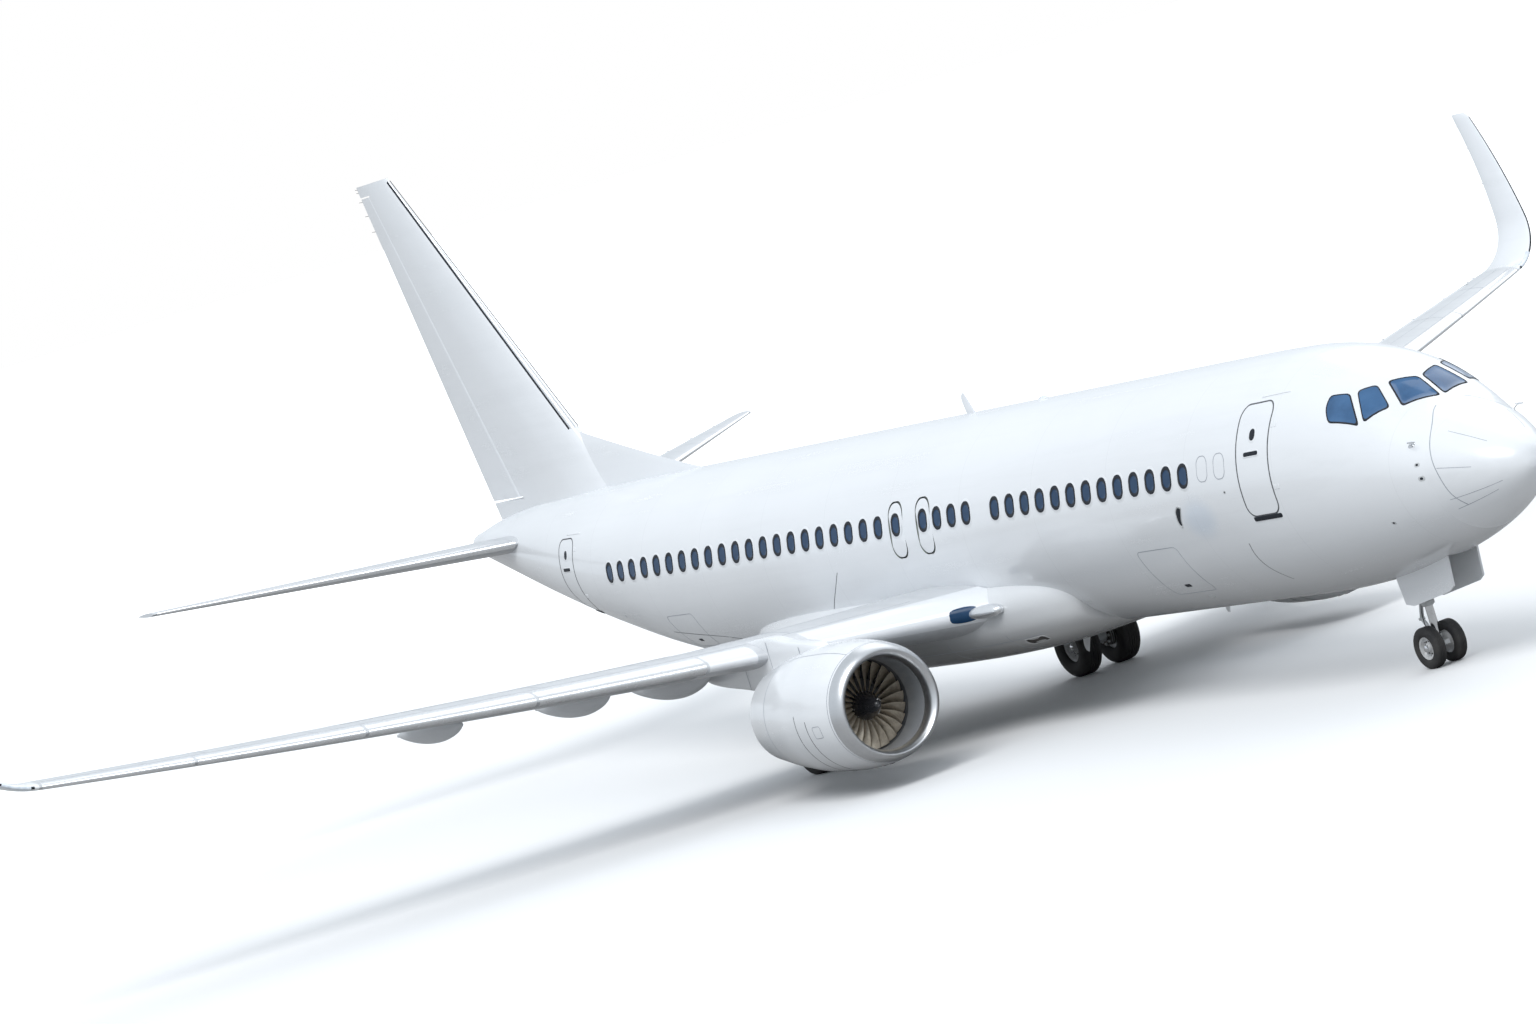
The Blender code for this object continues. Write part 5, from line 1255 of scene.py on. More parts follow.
def control_block(points_at, ends, hinge, room, side=1, upright=False):
    """The space behind a hinge line that a rudder or elevator swings in."""
    outline = []
    for where in (ends[0] - room[0], ends[1] + room[1]):
        top, low = points_at(where, hinge, 1), points_at(where, hinge, -1)
        half = np.linalg.norm(top - low) / 2
        outline.append((float(top[1]) + LENGTH / 2 - 1.1 * half - 0.008, where))
    outline += [(41.0, outline[1][1]), (41.0, outline[0][1])]
    if upright:
        return prism_across(outline, (-1.0, 1.0))
    return prism_up([(side * where, station) for station, where in outline], (0.2, 3.0))


def build_tail():
    """The fin with its dorsal fin and rudder, the stabilisers and their elevators."""
    t, upper = round_foil()
    zs = np.linspace(1.0, 8.985, 60)
    fin = mesh_object("fin_skin", skin(fin_at(zs[:, None], t, upper)), ["white"])
    carve(fin, "DIFFERENCE", control_block(fin_at, RUDDER_Z, RUDDER_HINGE, (0.045, 0.03), upright=True))
    dress(fin, "airframe", "white_paint", replaces=["fin"])
    s = np.linspace(0, 1, 60)[:, None]
    v = np.linspace(0, 1, 18)
    edge = np.concatenate([v, v[-2::-1]])
    way = np.repeat((1, -1), (18, 17))
    top = 1.84 + (3.36 - 1.84) * s**1.12
    half = (0.03 + 0.19 * s) * (1 - edge**2.2) ** 0.8 + 0.012 * (1 - edge**8)
    dorsal = place(way * half, 26.95 + (33.1 - 26.95) * s, 1.2 + (top - 1.2) * edge)
    piece("dorsal_fin", skin(dorsal), ["white"], "white_paint")
    t, upper = round_foil(RUDDER_HINGE, 1.0, 18)
    rings = with_nose(fin_at(np.linspace(*RUDDER_Z, 40)[:, None], t, upper), 1.08)
    piece("rudder_skin", skin(rings), ["white"], "white_paint", body="rudder", replaces=["rudder"])
    shapes = leading_shell(fin_at, [(3.15, 8.9)], (0.014, 0.014), 0.003)
    zs = np.linspace(3.15, 8.9, 60)
    shapes += [strip(fin_at(zs, 0.02, upper), np.tile((upper, -0.3, 0), (60, 1)), 0.045, 0.006, paint=1)
               for upper in (1, -1)]
    piece("fin_edge", shapes, ["metal", "rim"], "bare_metal")
    piece("rudder_shrouds", shrouds(fin_at, RUDDER_Z, RUDDER_HINGE), ["white"], "white_paint")
    for word, side in SIDES.items():
        at = partial(stabiliser_at, side)
        rings = at(np.linspace(0.25, STABILISER_X[1], 50)[:, None], *round_foil())
        body = mesh_object(f"stabiliser_skin_{word}", skin(rings), ["wing", "under"])
        # Faces that look down get the darker finish: painted shade
        paint_shade_below(body.data, 1)
        root = [(0.0, 37.0), (side * 1.105, 37.0), (side * 1.105, 41.0), (0.0, 41.0)]
        carve(body, "DIFFERENCE", control_block(at, ELEVATOR_X, ELEVATOR_HINGE, (0.045, 0.045), side),
              prism_up(root, (0.2, 3.0)))
        dress(body, "airframe", "wing_grey", replaces=[f"stabiliser_{word}"])
        t, upper = round_foil(ELEVATOR_HINGE, 1.0, 16)
        rings = with_nose(at(np.linspace(*ELEVATOR_X, 30)[:, None], t, upper), 1.05)
        piece(f"elevator_skin_{word}", skin(rings), ["panel"], "wing_grey", body=f"elevator_{word}",
              replaces=[f"elevator_{word}"])
        lips = shrouds(at, ELEVATOR_X, ELEVATOR_HINGE)
        piece(f"elevator_shrouds_{word}", lips, ["wing"], "wing_grey")
        edge = leading_shell(at, [(1.0, 7.1)], (0.03, 0.03), 0.003)
        piece(f"stabiliser_edge_{word}", edge, ["metal"], "bare_metal")


# Engines


def engine_at(side, along, angle, radius, flat=0.0):
    """Points round an engine's axis: angle 0 is up, and the underside's reach is shortened by the
    share flat of the cowl's flattening."""
    along, angle, radius, flat = np.broadcast_arrays(along, angle, radius, flat)
    up = radius * np.cos(angle)
    up = np.where(up < 0, up * (1 - (1 - COWL_FLATTENING) * flat), up)
    return place(side * ENGINE_X + radius * np.sin(angle), LIP_STATION + along, ENGINE_Z + up)


def cowl_hoop(side, line, flat, paint=0, sides=112):
    """A hoop whose wall is a closed line of (distance aft, radius) carried round the engine's axis."""
    line = np.asarray(line, float)
    points = engine_at(side, line[:, 0], turn(sides)[:, None], line[:, 1], flat)
    shape_points, faces, _ = skin(points, wrap_rows=True)
    return shape_points, faces, np.tile(np.broadcast_to(paint, len(line)), sides).tolist()


def engine_strip(side, along, angle, radius, flat, width, **look):
    """A thin strip on a surface round an engine's axis."""
    path = engine_at(side, along, angle, radius, flat)
    return strip(path, path - engine_at(side, along, 0.0, 0.0), width, **look)


def fan_blades(side):
    """The fan's 24 blades: each a thin bowed section, turned from 0.25 to 1.08 radians between root
    and tip."""
    r = np.linspace(HUB_RADIUS * 0.96, FAN_RADIUS, 14)[None, :, None]
    share = np.linspace(-0.5, 0.5, 11)
    share = np.concatenate([share, share[-2:0:-1]])[None, None, :]
    face = np.concatenate([np.ones(11), -np.ones(9)])[None, None, :]
    rise = np.maximum(0.0, (r - HUB_RADIUS) / (FAN_RADIUS - HUB_RADIUS))
    lean = 0.25 + 0.83 * rise**0.9
    chord = 0.2 + 0.11 * np.sin(math.pi * np.clip(rise, 0, 1) ** 0.8 * 0.72)
    bow = 0.022 * (1 - (2 * share) ** 2)
    thick = 0.007 * (1 - 0.5 * rise) * (1 - (2 * share) ** 4) * face
    aft = chord * share * np.cos(lean) - (bow + thick) * np.sin(lean) - 0.03 * rise**2
    way = chord * share * np.sin(lean) + (bow + thick) * np.cos(lean)
    angle = turn(24, 0.5)[:, None, None] + np.arctan2(way, r)
    points = engine_at(side, FAN_STATION + 0.01 + aft, angle, r)
    return [skin(one) for one in points]


def build_engines():
    """Inlet lips, cowls, fans, guide vanes, core nozzles and pylons of both engines."""
    for word, side in SIDES.items():
        outer, inner = smooth_curve(COWL_OUTER[3:]), smooth_curve(COWL_INNER[2:])
        line = curved_path([(0.24, 0.785), (0.1, 0.815), (0.03, 0.86), (0.0, 0.905), (0.03, 0.952),
                            (0.1, 0.998), (0.24, 1.046)], 8)
        flat = np.clip((line[:, 1] - 0.84) / 0.12, 0, 1)
        piece(f"inlet_lip_skin_{word}", cowl_hoop(side, line, flat), ["polished"], "polished_metal",
              replaces=[f"inlet_lip_{word}"])
        s = np.linspace(0.245, 3.55, 56)
        t = np.linspace(3.545, 0.245, 56)
        line = np.concatenate([np.stack([s, outer(s)], 1), np.stack([t, inner(t)], 1)])
        # Behind the fan the duct wall is near-black: painted shade inside the duct
        paint = np.where(np.arange(112) < 56, 0, np.where(line[:, 0] < 1.3, 1, 2))
        piece(f"nacelle_skin_{word}", cowl_hoop(side, line, np.repeat((1.0, 0.0), 56), paint),
              ["white", "barrel", "dark"], "white_paint", replaces=[f"nacelle_{word}"])
        build_cowl_seams(word, side, outer)
        build_fan(word, side)
        build_core(word, side)
        build_pylon(word, side)


def build_cowl_seams(word, side, outer):
    """Joint lines, latches, hatches and the small strake of one cowl."""
    shapes = [
        engine_strip(side, along, np.linspace(start, end, 90), outer(along), 1.0, 0.016, paint=paint)
        for along, start, end, paint in (
            (0.3, -3.1, 3.1, 1), (1.05, 1.5, 3.0, 0), (1.05, 3.28, 4.78, 0), (1.42, 1.4, 3.0, 0),
            (1.42, 3.28, 4.88, 0), (2.72, 0.4, 5.88, 1))
    ]
    s = np.linspace(0.3, 3.5, 60)
    for angle, paint in ((0.36, 1), (-0.36, 1), (math.pi, 0)):
        shapes.append(engine_strip(side, s, angle, outer(s), 1.0, 0.014, paint=paint))
    for s0 in (0.55, 0.8, 1.05, 1.3, 1.9, 2.2, 2.5):
        s = np.linspace(s0, s0 + 0.09, 6)
        shapes.append(engine_strip(side, s, math.pi, outer(s), 1.0, 0.05, lift=0.006))
    surface = with_normals(lambda along, angle: engine_at(side, along, angle, outer(along), 1.0),
                           lambda along: engine_at(side, along, 0.0, 0.0))
    for along, angle, *size in ((1.05, 1.75, 0.16, 0.12), (0.75, -1.7, 0.12, 0.1), (2.1, 2.2, 0.12, 0.08)):
        outline = rounded_outline(*size, 0.04, 32) + (along, angle)
        shapes.append(outline_strip(surface, outline, 0.011, 0.0015, 1))
    shapes.append(pad(surface, 0.62, -side * 1.25, 0.05, 0.04, 0.012, 0, 0.03))
    piece(f"cowl_seams_{word}", shapes, ["dark", "faint"])
    # The strake stands on the inboard upper side of the cowl
    angle = -side * 0.95
    s = np.linspace(0.75, 2.0, 20)
    root = engine_at(side, s, angle, outer(s) - 0.01, 1.0)
    reach = 0.2 * np.sin(math.pi * np.linspace(0, 1, 20) ** 1.4) ** 0.7 + 0.004
    tip = engine_at(side, s, angle, outer(s) + reach, 1.0)
    across = np.cross(unit(tip[10] - root[10]), (0, 1, 0)) * 0.011
    ring = np.stack([root - across, tip - across * 0.4, tip + across * 0.4, root + across], 1)
    piece(f"cowl_strake_{word}", skin(ring), ["white"], "white_paint")


def build_fan(word, side):
    """Hub, pointed spinner with its spiral mark, and the blades, all turning together."""
    line = smooth_curve([(-0.56, 0.006), (-0.54, 0.04), (-0.48, 0.09), (-0.3, 0.176), (-0.1, HUB_RADIUS),
                         (0.12, HUB_RADIUS)])
    s = np.concatenate([-0.56 + 0.08 * np.linspace(0, 1, 10) ** 2, np.linspace(-0.46, 0.12, 26)])
    centre = engine_at(side, FAN_STATION, 0.0, 0.0)
    spinner = turned(np.stack([s, line(s)], 1), centre, "y", 72, paint=1)
    a = np.linspace(0.3, 2.6, 44)
    along = -0.5 + 0.3 * (a - 0.3) / 2.3
    mark = engine_strip(side, FAN_STATION + along, a, line(along), 0.0, 0.03, paint=2)
    bolt = [(0.0, 0.011), (0.008, 0.011), (0.01, 0.007)]
    bolts = [turned(bolt, engine_at(side, FAN_STATION - 0.12, b, 0.243), "y", 8, paint=2) for b in turn(12)]
    piece(f"fan_skin_{word}", [*fan_blades(side), spinner, mark, *bolts], ["blade", "spinner", "mark"],
          "titanium", body=f"fan_{word}", replaces=[f"fan_{word}"], sharp=50)
    # Guide vanes stand still behind the fan
    r = np.linspace(0.5, 0.845, 5)[None, :, None]
    share = np.array([-0.5, 0.0, 0.5, 0.0])[None, None, :]
    thick = np.array([0.0, 0.006, 0.0, -0.006])[None, None, :]
    angle = turn(40)[:, None, None] + np.arctan2(thick + 0.04 * share, r)
    vanes = engine_at(side, 1.42 + 0.14 * share, angle, np.broadcast_to(r, angle.shape))
    shapes = [skin(one) for one in vanes]
    rub = [(0.84, 0.7915), (0.84, 0.787), (1.12, 0.787), (1.12, 0.7915)]
    shapes.append(cowl_hoop(side, rub, 0.0, 1, 80))
    piece(f"guide_vanes_{word}", shapes, ["barrel", "dark"])


def build_core(word, side):
    """The core cowl, its hollow nozzle and the pointed plug."""
    profile = [(1.16, 0.42), (1.17, 0.49), (1.22, 0.51), (1.6, 0.56), (2.1, 0.588), (2.6, 0.6), (3.1, 0.578)]
    profile += [(3.6, 0.53), (3.605, 0.522), (4.0, 0.463), (4.34, 0.4), (4.35, 0.39), (4.2, 0.385)]
    profile += [(4.0, 0.39), (4.0, 0.25), (4.2, 0.27), (4.36, 0.275), (4.5, 0.262), (4.7, 0.205)]
    profile += [(4.9, 0.125), (5.03, 0.07), (5.05, 0.05)]
    paint = [0] * 8 + [1] * 4 + [2] * 3 + [1] * 5 + [2]
    core = turned(profile, engine_at(side, 0.0, 0.0, 0.0), "y", 72, paint=paint)
    seams = [engine_strip(side, along, turn(72), radius, 0.0, 0.014, lift=0.002, closed=True, paint=2)
             for along, radius in ((2.0, 0.585), (3.25, 0.567))]
    piece(f"core_skin_{word}", [core, *seams], ["barrel", "titanium", "soot_and_hole_shade"], "titanium",
          replaces=[f"engine_core_{word}"])


def build_pylon(word, side):
    """The pylon: at each station a squarish oval between a lower and an upper line, with a round
    front edge and a back that tapers."""
    upper = smooth_curve([(1.15, 0.9), (1.9, 1.2), (2.8, 1.3), (3.6, 1.42), (5.2, 1.3), (6.7, 0.98)])
    lower = smooth_curve([(1.15, 0.78), (1.5, 0.62), (1.75, 0.32), (3.5, 0.3), (4.6, 0.5), (6.3, 0.72),
                          (6.7, 0.93)])
    s = 1.15 + 5.55 * (1 - np.cos(math.pi * np.arange(71) / 70)) / 2
    width = 0.17 * np.minimum(1, np.sqrt((s - 1.15) / 0.9)) * np.minimum(1, ((6.7 - s) / 2.6 + 1e-6) ** 0.75)
    width = np.maximum(width, 0.004)[:, None]
    a = turn(48)[None]
    c, v = np.cos(a), np.sin(a)
    x = width * np.sign(c) * np.abs(c) ** 0.35
    middle, half = (upper(s) + lower(s)) / 2, np.maximum(0.01, (upper(s) - lower(s)) / 2)
    z = middle[:, None] + half[:, None] * np.sign(v) * np.abs(v) ** 0.45
    points = place(side * ENGINE_X + x, LIP_STATION + s[:, None], ENGINE_Z + z)
    shapes = [skin(points)]
    for face in (1, -1):
        for along in (2.35, 3.5, 4.55):
            heights = np.linspace(float(lower(along)) + 0.05, float(upper(along)) - 0.06, 10)
            path = place(side * ENGINE_X + face * 0.1705, LIP_STATION + along, ENGINE_Z + heights)
            shapes.append(strip(path, np.tile((face, 0, 0), (10, 1)), 0.012, 0.001, paint=1))
    piece(f"pylon_skin_{word}", shapes, ["white", "faint"], "white_paint", replaces=[f"pylon_{word}"],
          sharp=50)


# Landing gear


def tyre_line(width, radius, rim, grooves):
    """A tyre's closed section as (distance across, radius): bulging sidewalls, a flat crown with
    square grooves, and the bead on the rim."""
    w = width / 2
    wall = radius - rim
    sidewall = [(-0.68, 0.0), (-0.82, 0.04), (-0.93, 0.18), (-0.995, 0.4), (-1.0, 0.55), (-0.97, 0.7)]
    sidewall += [(-0.9, 0.84), (-0.8, 0.93), (-0.68, 0.985)]
    crown = [(-0.58, 1.0)]
    for g in grooves:
        crown += [(g - 0.035, 1.0), (g - 0.03, 0.955), (g + 0.03, 0.955), (g + 0.035, 1.0)]
    line = sidewall + crown + [(0.58, 1.0)] + [(-a, b) for a, b in sidewall[::-1]]
    return [(a * w, rim + b * wall) for a, b in line]


def wheel_line(inner, outer, rim):
    """Half of a wheel's section from the hub out to the flange on both sides."""
    return [
        (inner, 0.045), (inner, rim * 0.5), (inner + 0.012, rim * 0.86), (inner - 0.006, rim * 1.05),
        (inner + 0.016, rim * 1.07), (inner + 0.03, rim * 1.0), (outer - 0.03, rim * 1.0),
        (outer - 0.016, rim * 1.07), (outer + 0.006, rim * 1.05), (outer - 0.006, rim * 0.9),
        (outer - 0.045, rim * 0.8), (outer - 0.07, rim * 0.62), (outer - 0.05, rim * 0.42),
        (outer - 0.01, rim * 0.34), (outer + 0.004, rim * 0.26), (outer + 0.004, 0.03),
    ]


def beside(centre, radius, a):
    """The point at a radius and an angle from a centre, in the plane of a wheel."""
    return np.asarray(centre) + (0, radius * math.cos(a), radius * math.sin(a))


def hose(foot, run, radius, paint):
    """A hose through a few points above a leg's foot."""
    return tube(foot + curved_path(run, 8), radius, 8, paint=paint)


def wheel(centre, way, inner, outer, rim, bolts):
    """One wheel with its tie bolts, vent holes and hub cap; way is the side it faces."""
    line = [(way * a, r) for a, r in wheel_line(inner, outer, rim)]
    shapes = [turned(line, centre, "x", 72)]
    for ring, size, count, at in ((0.72, 0.011, bolts, outer - 0.058), (0.3, 0.008, 8, outer - 0.004)):
        bolt = [(way * (at - 0.02), size), (way * (at + 0.016), size), (way * (at + 0.019), size * 0.6)]
        shapes += [turned(bolt, beside(centre, ring * rim, a), "x", 6, paint=1) for a in turn(count)]
    # The vent holes end in flat near-black discs: painted shade for their depth
    hole = [(way * (outer - 0.09), 0.022), (way * (outer - 0.0605), 0.022), (way * (outer - 0.06), 0.016)]
    shapes += [turned(hole, beside(centre, 0.55 * rim, a), "x", 12, paint=2) for a in turn(9, 0.5)]
    cap = [(way * (outer - 0.01), 0.055), (way * (outer + 0.018), 0.052), (way * (outer + 0.028), 0.03)]
    return [*shapes, turned(cap, centre, "x", 32, paint=1)]


def build_main_gear():
    """Main wheels with their grooved tyres, brakes, and the legs' bright pistons, collars and hoses."""
    for word, side in SIDES.items():
        centre = place(side * MAIN_X, MAIN_STATION, MAIN_TYRE_RADIUS - WIDEST_LINE)
        wheels = wheel(centre, 1, 0.31, 0.545, 0.262, 10) + wheel(centre, -1, 0.31, 0.545, 0.262, 10)
        axle = turned([(-0.32, 0.059), (0.32, 0.059)], centre, "x", 32)
        piece(f"main_wheels_skin_{word}", [*wheels, axle], ["wheel", "chrome", "soot_and_hole_shade"], "wheel_paint",
              body=f"main_wheels_{word}", replaces=[f"main_wheels_{word}"])
        for name, way in (("outer", side), ("inner", -side)):
            middle = centre + (way * 0.43, 0, 0)
            line = tyre_line(0.42, MAIN_TYRE_RADIUS, 0.275, (-0.36, -0.12, 0.12, 0.36))
            piece(f"main_tyre_skin_{name}_{word}", hoop(line, middle, "x", 88), ["tyre"], "tyre",
                  body=f"main_wheels_{word}", replaces=[f"main_tyre_{name}_{word}"], sharp=50)
        shapes = []
        for way in (1, -1):
            for k in range(5):
                at = way * (0.19 + 0.022 * k)
                shapes.append(sleeve((at - 0.008, at + 0.008), (0.1, 0.205), centre, "x", 40, k % 2))
            cylinder = [(way * 0.15, 0.026), (way * 0.185, 0.026)]
            shapes += [turned(cylinder, beside(centre, 0.165, a), "x", 12, paint=1) for a in turn(8)]
        piece(f"brakes_{word}", shapes, ["brake", "gear"])
        foot = place(side * MAIN_X, MAIN_STATION, -WIDEST_LINE)
        knee = foot + (0, 0.36, 0.93)
        shapes = [
            sleeve((0.72, 1.119), (0.084, 0.0875), foot, "z", 48, 0),
            sleeve((1.14, 1.2), (0.13, 0.143), foot, "z", 48, 1),
            sleeve((1.5, 1.54), (0.115, 0.128), foot, "z", 48, 1),
            sleeve((1.78, 1.82), (0.115, 0.127), foot, "z", 48, 1),
            turned([(-0.07, 0.03), (0.07, 0.03)], knee, "x", 20, paint=0),
            turned([(-0.085, 0.02), (0.085, 0.02)], knee, "x", 6, paint=1),
        ]
        for offset, sway in ((0.05, 0.1), (-0.05, 0.13), (0.0, 0.16)):
            run = [(offset, 0.125, 1.75), (offset * 1.6, 0.135, 1.4), (offset * 2.4, 0.17 + sway, 1.12)]
            run += [(offset * 2.6, 0.15 + sway, 0.85), (offset * 2.4, 0.14, 0.68)]
            shapes.append(hose(foot, run, 0.0105, 2))
        shapes.append(hose(foot, [(0.1, -0.09, 1.9), (0.1, -0.1, 1.5), (0.08, -0.11, 1.22)], 0.008, 0))
        piece(f"main_leg_fittings_{word}", shapes, ["chrome", "gear", "hose"])


def build_nose_gear():
    """Nose wheels and tyres, the steered part's bright piston and lamp, collars, hoses and jacks."""
    centre = place(0.0, NOSE_STATION, NOSE_TYRE_RADIUS - WIDEST_LINE)
    wheels = wheel(centre, 1, 0.138, 0.272, 0.178, 8) + wheel(centre, -1, 0.138, 0.272, 0.178, 8)
    axle = turned([(-0.14, 0.0395), (0.14, 0.0395)], centre, "x", 24)
    piece("nose_wheels_skin", [*wheels, axle], ["wheel", "chrome", "soot_and_hole_shade"], "wheel_paint",
          body="nose_wheels", replaces=["nose_wheels"])
    for word, side in SIDES.items():
        middle = centre + (side * 0.205, 0, 0)
        line = tyre_line(0.197, NOSE_TYRE_RADIUS, 0.19, (-0.3, 0.0, 0.3))
        piece(f"nose_tyre_skin_{word}", hoop(line, middle, "x", 72), ["tyre"], "tyre", body="nose_wheels",
              replaces=[f"nose_tyre_{word}"], sharp=50)
    foot = place(0.0, NOSE_STATION, -WIDEST_LINE)
    lamp = foot + (0, -0.22, 1.19)
    shapes = [
        sleeve((0.5, 0.978), (0.0645, 0.0672), foot, "z", 40, 0),
        turned([(-0.012, 0.07), (-0.006, 0.073), (0.0, 0.068)], lamp, "y", 32, paint=2),
        sleeve((-0.014, 0.02), (0.068, 0.078), lamp, "y", 32, 1),
        turned([(-0.05, 0.024), (0.05, 0.024)], foot + (0, 0.3, 0.78), "x", 16, paint=0),
    ]
    for offset in (0.035, -0.035):
        run = [(offset, 0.085, 1.1), (offset * 2, 0.13, 0.95), (offset * 2.2, 0.15, 0.7)]
        shapes.append(hose(foot, [*run, (offset * 1.5, 0.085, 0.5)], 0.008, 3))
    shapes.append(sleeve((0.46, 0.5), (0.065, 0.082), foot, "z", 32, 1))
    piece("nose_leg_fittings", shapes, ["chrome", "gear", "lamp", "hose"], body="nose_steering")
    shapes = [
        sleeve((1.0, 1.06), (0.098, 0.112), foot, "z", 40, 0),
        sleeve((1.5, 1.56), (0.098, 0.11), foot, "z", 40, 0),
    ]
    for way in (1, -1):
        jack = curved_path([(way * 0.13, -0.02, 1.36), (way * 0.13, 0.0, 1.34), (way * 0.13, 0.16, 1.34)], 6)
        shapes.append(tube(foot + jack, 0.035, 14, paint=0))
        run = [(way * 0.1, 0.05, 2.1), (way * 0.12, 0.07, 1.7), (way * 0.12, 0.1, 1.4)]
        shapes.append(hose(foot, run, 0.008, 1))
    piece("nose_leg_lines", shapes, ["gear", "hose"])


# Fittings


def blade_aerial(foot, station, height, chord, sweep, reach=-1):
    """A swept blade aerial on the middle line, up or down from the height foot: lens-shaped sections
    that shrink towards its tip."""
    rise = np.linspace(0, 1, 14)[:, None]
    t = np.linspace(0, 1, 13)
    t = np.concatenate([t, t[-2:0:-1]])
    way = np.repeat((1, -1), (13, 11))
    long = chord * (1 - 0.45 * rise) * np.sqrt(np.clip(1.02 - rise**6, 0, 1))
    x = way * 0.016 * (1 - 0.5 * rise) * 2 * np.sqrt(np.clip(t * (1 - t), 0, 1))
    z = foot + reach * (height * rise - 0.03)
    return skin(place(x, station + sweep * rise + long * t, z))


def wick(start, way, length=0.16):
    """A static wick: a thin rod behind a trailing edge."""
    path = start + np.array(way) * np.linspace(-0.015, length, 6)[:, None]
    return tube(path, np.linspace(0.0055, 0.0035, 6), 6)


def build_fittings():
    """Aerials, beacons, probes, ports, drains, lamps and the wicks behind the wings and tail."""
    shapes = [
        blade_aerial(crown_line(16.3), 16.3, 0.42, 0.34, 0.24, reach=1),
        blade_aerial(-2.36, 14.75, 0.3, 0.28, 0.2),
        blade_aerial(hull_section(26.9)[3], 26.9, 0.3, 0.28, 0.22),
        blade_aerial(hull_section(9.9)[3], 9.9, 0.16, 0.18, 0.08),
    ]
    piece("aerials", shapes, ["white"])
    dome = [(-0.02, 0.085), (0.012, 0.085), (0.034, 0.07), (0.048, 0.045), (0.054, 0.02), (0.055, 0.004)]
    base = [(-0.03, 0.1), (0.012, 0.1), (0.022, 0.086)]
    shapes = []
    for spot, way in ((place(0, 13.9, 1.88), 1), (place(0, 15.6, -2.4), -1)):
        shapes.append(turned([(way * h, r) for h, r in dome], spot, "z", 32, paint=0))
        shapes.append(turned([(way * h, r) for h, r in base], spot, "z", 32, paint=1))
    piece("beacons", shapes, ["lamp", "white"])
    for word, side in SIDES.items():
        build_side_fittings(word, side)
    wicks = [wick(fin_at(z, 1.0, 0.0), (0, 1, 0.05), 0.18) for z in (8.0, 8.35, 8.66)]
    piece("rudder_wicks", wicks, ["rim"], body="rudder")
    shapes = [wick(fin_at(z, 1.0, 0.0), (0, 1, 0.1), 0.12) for z in (8.86, 8.93)]
    lamp = [(-0.02, 0.05), (0.03, 0.05), (0.07, 0.035), (0.085, 0.01)]
    shapes.append(turned(lamp, place(0, HULL_LENGTH, 1.36), "y", 24, paint=1))
    shapes.append(tube(place([0.0, 0.0], [31.9, 32.6], [-0.62, -0.56]), 0.05, 12, paint=2))
    piece("tail_fittings", shapes, ["rim", "lamp", "gear"])


